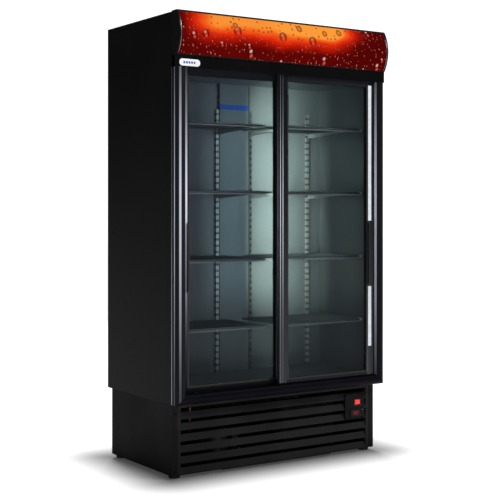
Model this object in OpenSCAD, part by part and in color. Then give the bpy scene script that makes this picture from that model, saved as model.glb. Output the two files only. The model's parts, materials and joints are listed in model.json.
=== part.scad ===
// Two-door sliding glass merchandiser: insulated cabinet on a louvred machine base,
// with a lit, bowed canopy over the doors.
// Origin: centre of the footprint on the floor. The doors face -Y, +X is to the right.

/* [Cabinet] */
// Overall width, across the canopy and the side panels
cabinet_w = 1150; // [1000:10:1400]
// Depth from the face plane of the door frame to the rear panel
body_d = 626; // [560:2:760]
// Overall height, from the floor to the top of the canopy
overall_h = 2010; // [1780:10:2420]
// Step from the canopy's top down to the roof panel
roof_step = 4; // [2:1:12]
// Thickness of the outer sheet steel
skin_t = 1; // [0.6:0.1:2]
// Thickness of the insulated walls, skins included
wall_t = 45; // [36:1:56]
// Thickness of the insulated rear wall and floor
slab_t = 56; // [40:1:70]
// Foam above the storage space
ceiling_foam_t = 60; // [40:1:80]
// Depth of the air duct behind the storage space
duct_d = 140; // [120:5:180]

/* [Base] */
// Height of the levelling feet
foot_h = 15; // [12:1:60]
// Diameter of each foot's pad
foot_d = 50; // [36:1:56]
// Height of the machine compartment
base_h = 307; // [250:1:360]
// Shadow gap between the base and the cabinet
seam_h = 4; // [2:1:12]
// Inset of the base at each side
base_inset_x = 15; // [5:1:40]
// Inset of the base behind the face plane
base_inset_front = 50; // [30:1:80]
// Inset of the base at the rear
base_inset_rear = 14; // [6:1:40]
// Width of the base's front posts
post_w = 30; // [24:1:60]
// Spacing of the louvres
louvre_pitch = 48; // [40:1:60]
// Height of one louvre's slanted face
louvre_face = 26; // [20:1:34]
// How far a louvre slants back from its lower edge
louvre_slant = 13; // [8:1:18]

/* [Canopy] */
// Height of the lit canopy
canopy_h = 191; // [150:1:240]
// Reach of the canopy's edges in front of the face plane
canopy_edge = 17; // [10:1:30]
// Reach of the canopy's bow in front of the face plane
canopy_bulge = 46; // [36:1:70]
// Thickness of the end caps
cap_t = 6; // [4:1:10]
// Thickness of the bowed panel
canopy_panel_t = 3; // [2:0.5:5]
// Height of the fascia band under the canopy
fascia_h = 50; // [40:1:80]

/* [Door frame] */
// Width of the frame's round nose
nose_w = 50; // [40:1:60]
// Reach of the nose in front of the face plane
nose_d = 22; // [16:1:24]
// Width of the closed jamb box that the doors shut against
jamb_w = 43.7; // [38:0.1:46]

/* [Doors] */
// Thickness of a door
door_t = 22; // [20:1:26]
// Clear space between the two doors' planes
plane_gap = 18; // [16:1:26]
// Overlap of the two closed doors
door_overlap = 58; // [50:1:80]
// Width of a stile
stile_w = 46; // [40:1:56]
// Height of a rail
rail_h = 36; // [32:1:46]
// How far the glass enters the stiles and rails
glass_bite = 8; // [5:1:12]
// Thickness of one pane
pane_t = 4; // [3:0.5:5]
// Length of a handle
handle_l = 300; // [240:10:500]
// Projection of a handle
handle_d = 14; // [10:1:14]
// Height of the handles' middle above the floor
handle_z = 952; // [800:1:1200]
// Radius at the bottom of a roller's groove
roller_r = 9; // [7:0.5:10]
// Distance from a door's end to its roller
roller_inset = 70; // [56:1:120]

/* [Shelves] */
// Number of shelf levels
levels = 4; // [4]
// Height of the lowest shelf above the floor
shelf_z0 = 635; // [600:1:700]
// Vertical distance between shelves
shelf_pitch = 305; // [240:1:360]
// Gap between the left and the right column of shelves
column_gap = 90; // [60:2:140]
// Diameter of the shelf frame's rods
rod_d = 6; // [5:0.5:8]
// Diameter of the shelf's wires
wire_d = 3.5; // [3:0.5:5]
// Largest spacing of the wires
wire_pitch = 22; // [18:1:40]
// Width and depth of a slotted standard
standard_w = 15; // [12:1:20]

/* [Machinery] */
// Radius of the condenser fan
fan_r = 92; // [70:1:98]
// Radius of the compressor's shell
compressor_r = 78; // [60:1:90]
// Radius of a refrigerant pipe
pipe_r = 5; // [3:0.5:8]

/* [Hidden] */
$fn = 48;

// Clearances
fit_gap = 0.3;      // between pieces that are fitted together
run_gap = 0.05;     // radial, between a roller and its axle
door_gap = 2;       // between a door and what it slides past
joint_gap = 0.1;    // at a butt joint between two sheets

// The face plane: y is measured from it inside in_place()
face_y = -(body_d + canopy_bulge) / 2 + canopy_bulge;

// Heights
base_z1 = foot_h + base_h;
body_z0 = base_z1 + seam_h;
roof_z = overall_h - roof_step;
canopy_z0 = overall_h - canopy_h;
fascia_z0 = canopy_z0 - fascia_h;
floor_z = body_z0 + slab_t;
ceiling_z = canopy_z0 - 54;
ceiling_lip = 18;
foam_top_z = ceiling_z + skin_t + ceiling_foam_t;

// Half widths
half_w = cabinet_w / 2;
inner_x = half_w - skin_t;
store_x = half_w - wall_t;
liner_x = store_x - skin_t;
base_x = half_w - base_inset_x;

// Depths, from the face plane
jamb_d = 25;
front_plane = door_gap;
rear_plane = front_plane + door_t + plane_gap;
track_d = rear_plane + door_t + door_gap;
rear_y = body_d - skin_t;
duct_rear_y = body_d - 50;
duct_y = duct_rear_y - skin_t - duct_d;
post_y0 = base_inset_front;
grille_d = 18;
base_y1 = body_d - base_inset_rear;

// Doors, drawn as the left one with its front face at y = 0
door_x0 = -(half_w - jamb_w - fit_gap);
door_x1 = door_overlap / 2;
door_z0 = body_z0 + 28;
door_z1 = fascia_z0 + 11;
glass_x = [door_x0 + stile_w, door_x1 - stile_w];
glass_z = [door_z0 + rail_h, door_z1 - rail_h];
glazing_y = [(door_t - 14) / 2, (door_t + 14) / 2];
roller_w = 10;
roller_flange = 2.5;
rib_w = 3;
track_base_t = 5;
rib_top = door_z0 - 4;
roller_z = rib_top + fit_gap + roller_r;
axle_r = 2;
channel_w = roller_w + 2;
roller_x = [door_x0 + roller_inset, door_x1 - roller_inset];
guide_w = 6;
guide_h = 12;
guide_l = 30;

// Storage space
shelf_x = [-(liner_x - 5), -column_gap / 2];
shelf_y0 = track_d + 24;
standard_y = duct_y - standard_w;
standard_x = [standard_w * 6 + 5, liner_x - 85];
standard_z1 = ceiling_z - 125;
standard_pitch = 30;
standard_slot_w = 5;
arm_h = 24;

// Controls on the base's right end
panel_x = [half_w - 190, half_w - 190 + 116];
panel_z = [base_z1 - 161, base_z1 - 40];
panel_t = 4;
rocker_w = 28;
rocker_h = 22;
rocker_x = panel_x[1] - 42;
rocker_z = panel_z[1] - 42;
rock_r = 15;
rocker_y = post_y0 - panel_t - 3 + rock_r;
pin_r = 1.5;
box_inset = 6;
box_d = 30;
thermostat_w = 77;
thermostat_h = 35;

// Machinery
fan_x = 210;
fan_z = foot_h + skin_t + fan_r + 24;
coil_y = post_y0 + 50;
coil_d = 44;
shroud_y = coil_y + coil_d + fit_gap;
shroud_d = 22;
rotor_y = shroud_y + 6;
rotor_d = 24;
compressor_x = -170;
compressor_y = body_d / 2 + 10;
stub_l = 6;
suction_y = compressor_y + compressor_r + stub_l;
suction_z = foot_h + skin_t + 100;
discharge_x = compressor_x + 20;
discharge_y = compressor_y - compressor_r - stub_l;
discharge_z = foot_h + skin_t + 60;

shell_c = "#15181a";
frame_c = "#101216";
liner_c = "#aeb8b8";
steel_c = "#c4c8ca";
door_c = "#1a1d22";
black_c = "#0c0d0f";

// ---------- helpers ----------

module in_place(c) { color(c) translate([0, face_y, 0]) children(); }

module span(x, y, z) {
    translate([x[0], y[0], z[0]]) cube([x[1] - x[0], y[1] - y[0], z[1] - z[0]]);
}

module both_sides() {
    children();
    mirror([1, 0, 0]) children();
}

// a (y, z) outline drawn out along x
module along_x(x) {
    translate([x[0], 0, 0]) rotate([90, 0, 90]) linear_extrude(x[1] - x[0]) children();
}

// an (x, y) outline drawn out along z
module along_z(z) {
    translate([0, 0, z[0]]) linear_extrude(z[1] - z[0]) children();
}

module rod_x(d, x, y, z) {
    translate([x[0], y, z]) rotate([0, 90, 0]) cylinder(d = d, h = x[1] - x[0]);
}

module rod_y(d, x, y, z) {
    translate([x, y[0], z]) rotate([-90, 0, 0]) cylinder(d = d, h = y[1] - y[0]);
}

module rod_z(d, x, y, z) {
    translate([x, y, z[0]]) cylinder(d = d, h = z[1] - z[0]);
}

function arc_radius(chord, rise) = (chord * chord / 4 + rise * rise) / (2 * rise);

// the part of a disc that rises above its chord: chord along y, rise towards -x
module bow(chord, rise) {
    r = arc_radius(chord, rise);
    intersection() {
        translate([r - rise, 0]) circle(r = r, $fn = 160);
        translate([-2 * rise, -chord / 2]) square([2 * rise, chord]);
    }
}

// ---------- outer shell ----------

module side_panel() span([-half_w, -inner_x], [jamb_d + fit_gap, body_d], [body_z0, roof_z]);

module side_panel_left() in_place(shell_c) side_panel();

module side_panel_right() in_place(shell_c) mirror([1, 0, 0]) side_panel();

module roof_panel() in_place(shell_c) {
    span([-inner_x, inner_x], [jamb_d, rear_y], [roof_z - skin_t, roof_z]);
}

module rear_panel() in_place(shell_c) {
    span([-inner_x, inner_x], [rear_y, body_d], [body_z0, roof_z]);
}

module underside_panel() in_place(shell_c) {
    span([-inner_x, inner_x], [track_d, rear_y], [body_z0, body_z0 + skin_t]);
    // short spacers that make the shadow gap over the base
    both_sides() for (y = [track_d + 20, base_y1 - 80])
        span([-base_x + 10, -base_x + 60], [y, y + 60], [base_z1, body_z0]);
}

module foam_insulation() in_place("#e6dfb4") {
    z = [body_z0 + skin_t, foam_top_z];
    both_sides() span([-inner_x, -store_x], [track_d, rear_y], z);
    span([-store_x, store_x], [duct_rear_y, rear_y], z);
    span([-store_x, store_x], [track_d, duct_rear_y], [z[0], floor_z - skin_t]);
    span([-store_x, store_x], [track_d, duct_rear_y], [ceiling_z + skin_t, z[1]]);
}

// ---------- inner liner ----------

module liner_walls() in_place(liner_c) {
    z = [floor_z, ceiling_z];
    both_sides() span([-store_x, -liner_x], [track_d, duct_rear_y], z);
    span([-liner_x + joint_gap, liner_x - joint_gap], [duct_rear_y - skin_t, duct_rear_y], z);
}

module liner_floor() in_place(liner_c) {
    span([-store_x, store_x], [track_d, duct_rear_y], [floor_z - skin_t, floor_z]);
}

module liner_ceiling() in_place(liner_c) {
    lip = ceiling_lip;
    span([-store_x, store_x], [track_d, duct_rear_y], [ceiling_z, ceiling_z + skin_t]);
    // the edge trim that hides the joint with the walls, and its screws
    both_sides() {
        span([-liner_x, -liner_x + skin_t], [track_d, duct_y], [ceiling_z - lip, ceiling_z]);
        for (y = [track_d + 60, duct_y - 90])
            rod_x(8, [-liner_x + skin_t - 0.2, -liner_x + skin_t + 2], y, ceiling_z - lip / 2);
    }
    span([-liner_x, liner_x], [track_d, track_d + skin_t], [ceiling_z - lip, ceiling_z]);
}

module rear_duct() in_place(liner_c) {
    slot_w = 60;
    difference() {
        span([-liner_x, liner_x], [duct_y, duct_y + skin_t], [floor_z, ceiling_z]);
        // return-air slots along the foot
        for (i = [-5:5], j = [0:2])
            span([i * 84 - slot_w / 2, i * 84 + slot_w / 2], [duct_y - 1, duct_y + skin_t + 1],
                 [floor_z + 24 + j * 14, floor_z + 30 + j * 14]);
    }
}

module centre_duct() in_place(liner_c) {
    x = standard_x[0] - standard_w / 2 - fit_gap;
    y = standard_y;
    z = [floor_z, ceiling_z - joint_gap];
    hole_d = 14;
    difference() {
        span([-x, x], [y, duct_y], z);
        span([-x + skin_t, x - skin_t], [y + skin_t, duct_y + 1], [z[0] - 1, z[1] - skin_t]);
        // cold air leaves through a column of holes down each flank
        both_sides() for (k = [0:levels], i = [-1:1])
            rod_x(hole_d, [-x - 1, -x + skin_t + 1], y + standard_w / 2,
                  shelf_z0 + (k - 0.55) * shelf_pitch + i * 24);
    }
}

module duct_label() in_place("#2f62b5") {
    x = standard_x[0] - standard_w / 2 - 1;
    span([-x, x], [standard_y - 0.8, standard_y], [standard_z1 + 2, standard_z1 + 26]);
}

// ---------- shelves ----------

module shelf_standard(x) {
    z = [floor_z + fit_gap, standard_z1];
    slot_h = 12;
    count = floor((z[1] - z[0] - 2 * standard_pitch) / standard_pitch);
    difference() {
        span([x - standard_w / 2, x + standard_w / 2], [standard_y, duct_y], z);
        span([x - standard_w / 2 + skin_t, x + standard_w / 2 - skin_t],
             [standard_y + skin_t, duct_y + 1], [z[0] - 1, z[1] + 1]);
        for (i = [1:count])
            span([x - standard_slot_w / 2, x + standard_slot_w / 2], [standard_y - 1, standard_y + skin_t + 1],
                 [z[0] + i * standard_pitch, z[0] + i * standard_pitch + slot_h]);
    }
}

module shelf_standards() in_place(steel_c) {
    both_sides() for (x = standard_x) shelf_standard(-x);
}

// cantilever arm under a shelf, hung on a standard
module shelf_arm(x, z) {
    y0 = shelf_y0 + 30;
    y1 = standard_y;
    top = -rod_d;
    along_x([x - 1.5, x + 1.5]) translate([0, z])
        polygon([[y0, top], [y1, top], [y1, top - arm_h], [y1 - 30, top - arm_h], [y0, top - arm_h / 3]]);
}

module shelf(z) {
    x = shelf_x;
    y = [shelf_y0, standard_y - 4];
    lip = 9;
    count = ceil((x[1] - x[0] - 2 * rod_d) / wire_pitch);
    step = (x[1] - x[0]) / count;
    cross_z = z - wire_d / 2 - rod_d / 2 + 1;
    // rods across: front, rear, two between, and the lower rod of the front lip
    for (t = [0, 1 / 3, 2 / 3, 1])
        rod_x(rod_d, x, y[0] + rod_d / 2 + t * (y[1] - y[0] - rod_d), cross_z);
    rod_x(rod_d, x, y[0] + rod_d / 2, cross_z - lip);
    // wires from front to back
    for (i = [1:count - 1]) rod_y(wire_d, x[0] + i * step, y, z);
    // side rods and the uprights of the front lip
    for (sx = [x[0] + rod_d / 2, x[1] - rod_d / 2]) rod_y(rod_d + 1, sx, y, cross_z);
    for (i = [0.5, count / 4, count / 2, 3 * count / 4, count - 0.5])
        rod_z(wire_d, x[0] + i * step, y[0] + rod_d / 2, [cross_z - lip, cross_z]);
    for (sx = standard_x) shelf_arm(-sx, z);
}

module shelves(level) in_place(steel_c) both_sides() shelf(shelf_z0 + (level - 1) * shelf_pitch);

// ---------- cooling behind the duct ----------

module evaporator_coil() in_place("#b9c0c2") {
    x = 240;
    y = [duct_y + 30, duct_y + 110];
    z = [ceiling_z - 330, ceiling_z - 130];
    fin_pitch = 24;
    for (fx = [-x:fin_pitch:x]) span([fx, fx + 1.2], y, z);
    for (j = [0:3], k = [0:1]) rod_x(9, [-x - 16, x + 17], y[0] + 22 + k * 36, z[0] + 28 + j * 48);
    both_sides() span([-x - 18, -x - 15], [duct_y + skin_t, duct_rear_y - skin_t], z);
}

module evaporator_fans() in_place("#23262a") {
    r = 60;
    z = ceiling_z - 380;
    y = (duct_y + duct_rear_y) / 2;
    difference() {
        span([-300, 300], [duct_y + skin_t, duct_rear_y - skin_t], [z, z + 2]);
        both_sides() translate([130, y, z - 1]) cylinder(r = r, h = 4);
    }
    both_sides() translate([130, y, 0]) {
        translate([0, 0, z - 46]) cylinder(r = 22, h = 40);
        translate([0, 0, z - 6]) cylinder(r = 16, h = 8);
        for (a = [0:72:288]) rotate([0, 0, a]) translate([14, 0, z - 2]) rotate([28, 0, 0])
            translate([0, -12, -1]) cube([40, 24, 2]);
        for (a = [0, 180]) rotate([0, 0, a]) translate([18, -3, z - 8]) cube([50, 6, 8]);
    }
}

// ---------- lamp between the columns ----------

module lamp_post() in_place("#8f9799") {
    w = 20;
    y = [track_d, track_d + 14];
    z = [floor_z, ceiling_z - ceiling_lip - joint_gap];
    difference() {
        span([-w / 2, w / 2], y, z);
        span([-w / 2 + 2, w / 2 - 2], [y[0] + 4, y[1] + 1], [z[0] - 1, z[1] + 1]);
    }
    // end caps and clips
    for (h = [[z[0], z[0] + 26], [z[1] - 26, z[1]]])
        span([-w / 2 - 4, w / 2 + 4], [y[0] - 0.5, y[1]], h);
    for (t = [0.36, 0.75, 0.9]) {
        clip_z = z[0] + t * (z[1] - z[0]);
        span([-w / 2 - 3, w / 2 + 3], [y[0] - 0.5, y[1]], [clip_z, clip_z + 8]);
    }
}

module lamp_lens() in_place("#f7fbff") {
    y = track_d + 14;
    span([-7, 7], [y, y + 4], [floor_z + 30, ceiling_z - 48]);
}

// ---------- door frame ----------

// round-nosed trim: u runs inwards from the frame's outer edge, v is depth
module nose_profile() {
    rise = nose_d - 1;
    wall = 2.5;
    translate([nose_w / 2, -1]) rotate([0, 0, 90]) difference() {
        bow(nose_w, rise);
        translate([-wall, 0]) bow(nose_w - 6 * wall, rise - 2.6 * wall);
    }
}

// cuts the nose's ends: square at the head, mitred where it meets the sill
module frame_jamb() {
    z = [body_z0, fascia_z0];
    cut = nose_d + 2;
    translate([-half_w, 0, 0]) intersection() {
        along_z(z) nose_profile();
        translate([0, 1, z[0]]) rotate([90, 0, 0]) linear_extrude(cut)
            polygon([[0, 0], [nose_w, nose_w], [nose_w, z[1] - z[0]], [0, z[1] - z[0]]]);
    }
    // the hollow box behind the nose, which the door shuts against
    difference() {
        union() {
            span([-half_w, -half_w + jamb_w], [-1, jamb_d], z);
            span([-inner_x, -half_w + jamb_w], [jamb_d, track_d - fit_gap], z);
        }
        span([-half_w + 3, -half_w + jamb_w - 3], [3, jamb_d - 1], [z[0] - 1, z[1] - 30]);
        span([-inner_x + 3, -half_w + jamb_w - 3], [jamb_d + 3, track_d - 4], [z[0] - 1, z[1] - 30]);
    }
}

module frame_jamb_left() in_place(frame_c) frame_jamb();

module frame_jamb_right() in_place(frame_c) mirror([1, 0, 0]) frame_jamb();

module frame_sill() in_place(frame_c) {
    cut = nose_d + 2;
    intersection() {
        along_x([-half_w, half_w]) translate([0, body_z0]) mirror([1, -1, 0]) nose_profile();
        translate([0, 1, body_z0]) rotate([90, 0, 0]) linear_extrude(cut) polygon([
            [-half_w, 0], [half_w, 0], [half_w - nose_w, nose_w], [-half_w + nose_w, nose_w]]);
    }
    x = half_w - jamb_w - fit_gap;
    span([-x, x], [-1, 0], [body_z0, body_z0 + nose_w - 1]);
}

module frame_head() in_place(frame_c) {
    x = half_w - fit_gap;
    y = [-(canopy_edge - 4.3), -1];
    difference() {
        span([-x, x], y, [fascia_z0 + 0.5, canopy_z0 - 0.5]);
        span([-x + 12, x - 12], [y[0] + 3, 0], [fascia_z0 + 4, canopy_z0 - 4]);
    }
}

// ---------- tracks ----------

module lower_track() {
    x = half_w - jamb_w - fit_gap;
    base_z = [body_z0, body_z0 + track_base_t];
    span([-x, x], [0, track_d - fit_gap], base_z);
    for (y = [front_plane, rear_plane]) {
        mid = y + door_t / 2;
        span([-x, x], [mid - rib_w / 2, mid + rib_w / 2], [base_z[1], rib_top]);
    }
    // wall at the rear that stops spills running into the storage floor
    span([-x, x], [track_d - door_gap + 0.5, track_d - fit_gap], [base_z[0], floor_z]);
}

module upper_track() {
    x = half_w - jamb_w - fit_gap;
    z = [door_z1 + 4, canopy_z0 - 1];
    difference() {
        span([-x, x], [0, track_d - fit_gap], z);
        for (y = [front_plane, rear_plane])
            span([-x - 1, x + 1], [y + door_t / 2 - 5, y + door_t / 2 + 5], [z[0] - 1, z[0] + 12]);
    }
}

module door_tracks() in_place("#7d8388") {
    lower_track();
    upper_track();
}

// ---------- sliding doors ----------

// the left door runs in the rear track, the right one is its mirror in the front track
module left_door(c) { in_place(c) translate([0, rear_plane, 0]) children(); }

module right_door(c) { in_place(c) translate([0, front_plane, 0]) mirror([1, 0, 0]) children(); }

// plan of a stile with softened corners and a groove for the glass
module stile_plan(x0, x1, groove_left) {
    c = 2.5;
    gx = groove_left ? x0 - 1 : x1 - glass_bite - fit_gap;
    difference() {
        polygon([[x0 + c, 0], [x1 - c, 0], [x1, c], [x1, door_t], [x0, door_t], [x0, c]]);
        translate([gx, glazing_y[0] - fit_gap])
            square([glass_bite + fit_gap + 1, glazing_y[1] - glazing_y[0] + 2 * fit_gap]);
        // shadow line down the face
        translate([(x0 + x1) / 2 - 1.5, -1]) square([3, 2.5]);
    }
}

module outer_stile() {
    along_z([door_z0, door_z1]) stile_plan(door_x0, glass_x[0], false);
}

module inner_stile() {
    along_z([door_z0, door_z1]) stile_plan(glass_x[1], door_x1, true);
}

module rail_box(z) span([glass_x[0], glass_x[1]], [0, door_t], z);

module door_rails() {
    gy = [glazing_y[0] - fit_gap, glazing_y[1] + fit_gap];
    gx = [glass_x[0] - 1, glass_x[1] + 1];
    depth = glass_bite + fit_gap;
    mid = door_t / 2;
    // top rail, with the guides that run in the upper track
    difference() {
        rail_box([glass_z[1], door_z1]);
        span(gx, gy, [glass_z[1] - 1, glass_z[1] + depth]);
    }
    for (x = roller_x)
        span([x - guide_l / 2, x + guide_l / 2], [mid - guide_w / 2, mid + guide_w / 2],
             [door_z1, door_z1 + guide_h]);
    // bottom rail: glazing groove above, roller channel and axles below
    difference() {
        rail_box([door_z0, glass_z[0]]);
        span(gx, gy, [glass_z[0] - depth, glass_z[0] + 1]);
        span(gx, [mid - channel_w / 2, mid + channel_w / 2],
             [door_z0 - 1, roller_z + roller_r + roller_flange + 2]);
    }
    for (x = roller_x) rod_y(2 * axle_r, x, [mid - channel_w / 2 - 2, mid + channel_w / 2 + 2], roller_z);
}

module door_glass() {
    x = [glass_x[0] - glass_bite, glass_x[1] + glass_bite];
    z = [glass_z[0] - glass_bite, glass_z[1] + glass_bite];
    span(x, [glazing_y[0], glazing_y[0] + pane_t], z);
    span(x, [glazing_y[1] - pane_t, glazing_y[1]], z);
}

// fin grip on the outer stile: straight, with quarter-round ends
module door_handle() {
    t = 6;
    z = [handle_z - handle_l / 2, handle_z + handle_l / 2];
    along_x([glass_x[0] - t, glass_x[0]]) intersection() {
        union() {
            for (e = [z[0] + handle_d, z[1] - handle_d]) translate([0, e]) circle(r = handle_d);
            translate([-handle_d, z[0] + handle_d]) square([handle_d, handle_l - 2 * handle_d]);
        }
        translate([-handle_d, z[0]]) square([handle_d, handle_l]);
    }
}

// grooved wheel on its axle, straddling the track's rib
module door_roller(x) {
    half = roller_w / 2;
    rim = roller_r + roller_flange;
    translate([x, door_t / 2, roller_z]) rotate([90, 0, 0]) rotate_extrude() polygon([
        [axle_r + run_gap, -half], [rim, -half], [rim, -half + 2.6], [roller_r, -half + 3],
        [roller_r, half - 3], [rim, half - 2.6], [rim, half], [axle_r + run_gap, half]]);
}

module left_door_outer_stile() left_door(door_c) outer_stile();
module left_door_inner_stile() left_door(door_c) inner_stile();
module left_door_rails() left_door(door_c) door_rails();
module left_door_glass() left_door([0.7, 0.8, 0.8, 0.25]) door_glass();
module left_door_handle() left_door(black_c) door_handle();
module left_door_roller_outer() left_door("white") door_roller(roller_x[0]);
module left_door_roller_inner() left_door("white") door_roller(roller_x[1]);

module right_door_outer_stile() right_door(door_c) outer_stile();
module right_door_inner_stile() right_door(door_c) inner_stile();
module right_door_rails() right_door(door_c) door_rails();
module right_door_glass() right_door([0.7, 0.8, 0.8, 0.25]) door_glass();
module right_door_handle() right_door(black_c) door_handle();
module right_door_roller_outer() right_door("white") door_roller(roller_x[0]);
module right_door_roller_inner() right_door("white") door_roller(roller_x[1]);

// ---------- canopy and fascia ----------

canopy_trim_t = 7;
canopy_floor_t = 5;
panel_chord = canopy_h - canopy_trim_t - canopy_floor_t;
panel_mid_z = canopy_z0 + canopy_floor_t + panel_chord / 2;

module canopy_end_caps() in_place(black_c) both_sides() along_x([-half_w, -half_w + cap_t]) {
    translate([-canopy_edge, canopy_z0]) square([canopy_edge + jamb_d, canopy_h]);
    translate([-canopy_edge, canopy_z0 + canopy_h / 2]) bow(canopy_h, canopy_bulge - canopy_edge);
}

module canopy_panel() in_place("#d8531a") {
    x = half_w - cap_t - fit_gap;
    rise = canopy_bulge - canopy_edge - 1;
    along_x([-x, x]) translate([-canopy_edge, panel_mid_z]) difference() {
        bow(panel_chord - 2 * fit_gap, rise);
        translate([0.01, 0]) bow(panel_chord - 4 * canopy_panel_t, rise - canopy_panel_t);
    }
}

module canopy_trim() in_place(black_c) {
    x = half_w - cap_t;
    y = [-canopy_edge - 1.5, jamb_d];
    span([-x, x], y, [overall_h - canopy_trim_t, overall_h]);
    span([-x, x], [y[0], jamb_d - 3], [canopy_z0, canopy_z0 + canopy_floor_t]);
}

module canopy_back() in_place("#e8e8e4") {
    x = half_w - cap_t - fit_gap;
    span([-x, x], [jamb_d - 3, jamb_d - 1.5],
         [canopy_z0 + canopy_floor_t, overall_h - canopy_trim_t]);
}

module canopy_lamps() in_place("#fff6dc") {
    x = half_w - cap_t - 30;
    tube_d = 26;
    for (t = [0.3, 0.7]) {
        z = canopy_z0 + t * canopy_h;
        rod_x(tube_d, [-x, x], 0, z);
        both_sides() span([-x - 20, -x], [-12, jamb_d - 3], [z - 17, z + 17]);
    }
}

module fascia() in_place(black_c) {
    span([-half_w, half_w], [-canopy_edge + 2, -canopy_edge + 4], [fascia_z0, canopy_z0]);
}

module badge() in_place("#e9edf0") {
    w = 102;
    h = 30;
    r = 14;
    y = -canopy_edge + 2;
    translate([-half_w + 14 + w / 2, y, fascia_z0 + 4 + h / 2]) rotate([90, 0, 0]) linear_extrude(2) {
        square([w - 2 * r, h], center = true);
        square([w, h - 2 * r], center = true);
        for (sx = [-1, 1], sz = [-1, 1]) translate([sx * (w / 2 - r), sz * (h / 2 - r)]) circle(r = r);
    }
}

// ---------- base ----------

module base_sides() in_place(shell_c) both_sides() {
    z = [foot_h, base_z1];
    span([-base_x, -base_x + skin_t], [post_y0, base_y1], z);
    span([-base_x, -base_x + post_w], [post_y0, post_y0 + 12], z);
    // top flange that carries the cabinet
    span([-base_x, -base_x + 70], [post_y0 + 12, base_y1], [base_z1 - 3, base_z1]);
}

module base_pan() in_place("#3a3d40") {
    x = base_x - skin_t;
    span([-x, x], [post_y0 + grille_d + joint_gap, base_y1 - skin_t], [foot_h, foot_h + skin_t]);
}

// Hood pressed out over one slot of the rear grille, open downwards
module rear_hood(x, z) {
    reach = base_inset_rear - 5;
    along_x(x) polygon([
        [base_y1 - skin_t / 2, z[1] + 2.4], [base_y1 + reach, z[0] - 2],
        [base_y1 + reach, z[0] - 3.4], [base_y1 - skin_t / 2, z[1] + 1]]);
}
module base_rear_grille() in_place(shell_c) {
    x = base_x - skin_t;
    slot_l = 150;
    slot_h = 8;
    column = (2 * x - slot_l - 60) / 5;
    row = 24;
    difference() {
        span([-x, x], [base_y1 - skin_t, base_y1], [foot_h, base_z1 - 3]);
        for (i = [-2.5:2.5], j = [0:8])
            span([i * column - slot_l / 2, i * column + slot_l / 2], [base_y1 - skin_t - 1, base_y1 + 1],
                 [foot_h + 44 + j * row, foot_h + 44 + j * row + slot_h]);
        // outlet for the supply cord
        rod_y(22, -base_x + 60, [base_y1 - skin_t - 1, base_y1 + 1], foot_h + 22);
    }
    for (i = [-2.5:2.5], j = [0:8])
        rear_hood([i * column - slot_l / 2 - 6, i * column + slot_l / 2 + 6],
                  [foot_h + 44 + j * row, foot_h + 44 + j * row + slot_h]);
}

module louvre(x, z_top) {
    y = post_y0;
    t = 1.5;
    along_x(x) polygon([
        [y + louvre_slant, z_top], [y, z_top - louvre_face], [y, z_top - louvre_face - 3],
        [y + 6, z_top - louvre_face - 3], [y + 6, z_top - louvre_face - 3 + t],
        [y + t, z_top - louvre_face - 3 + t], [y + t, z_top - louvre_face],
        [y + louvre_slant + t, z_top]]);
}

module front_grille() in_place(shell_c) {
    x = base_x - post_w - fit_gap;
    y = post_y0;
    side = 14;
    count = floor((base_h - 67) / louvre_pitch);
    z_top = base_z1 - 37;
    // rails and end strips
    span([-x, x], [y, y + grille_d], [base_z1 - 17, base_z1 - 3 - fit_gap]);
    span([-x, x], [y, y + grille_d], [foot_h, foot_h + 4]);
    both_sides() span([-x, -x + side], [y + 1, y + grille_d], [foot_h, base_z1 - 4]);
    difference() {
        for (i = [0:count]) louvre([-x + side - 1, x - side + 1], z_top - i * louvre_pitch);
        // way through for the control housing
        span([panel_x[0] + box_inset - 1, panel_x[1] - box_inset + 1], [y - 1, y + 30],
             [panel_z[0] + box_inset - 1, panel_z[1] - box_inset + 1]);
    }
    // pull lip along the middle of the bottom rail
    span([-0.58 * x, 0.56 * x], [y - 3, y + 1], [foot_h - 3, foot_h + 3]);
}

// ---------- controls ----------

// face plate with a housing behind it, and ears that carry the rocker's pins
module control_panel() in_place("#4a4e52") {
    y = [post_y0 - panel_t, post_y0 - fit_gap];
    side = rocker_w / 2 + 0.6;
    ear_t = 3;
    box_x = [panel_x[0] + box_inset, panel_x[1] - box_inset];
    box_z = [panel_z[0] + box_inset, panel_z[1] - box_inset];
    difference() {
        union() {
            span(panel_x, y, panel_z);
            span(box_x, [y[0] + 1, post_y0 + box_d], box_z);
        }
        span([box_x[0] + 2, box_x[1] - 2], [y[1], post_y0 + box_d - 2], [box_z[0] + 2, box_z[1] - 2]);
        span([rocker_x - side, rocker_x + side], [y[0] - 1, y[1] + 1],
             [rocker_z - rocker_h / 2 - 2.2, rocker_z + rocker_h / 2 + 2.2]);
    }
    difference() {
        for (x = [rocker_x - side - ear_t, rocker_x + side])
            span([x, x + ear_t], [y[1] - 0.5, rocker_y + 6], [rocker_z - 6, rocker_z + 6]);
        rod_x(2 * (pin_r + run_gap), [rocker_x - side - ear_t - 1, rocker_x + side + ear_t + 1],
              rocker_y, rocker_z);
    }
}

module power_rocker() in_place("#e02a16") {
    x = [rocker_x - rocker_w / 2, rocker_x + rocker_w / 2];
    intersection() {
        rod_x(2 * rock_r, x, rocker_y, rocker_z);
        span([x[0] - 1, x[1] + 1], [rocker_y - rock_r, rocker_y + 3],
             [rocker_z - rocker_h / 2, rocker_z + rocker_h / 2]);
    }
    rod_x(2 * pin_r, [x[0] - 3, x[1] + 3], rocker_y, rocker_z);
}

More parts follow.
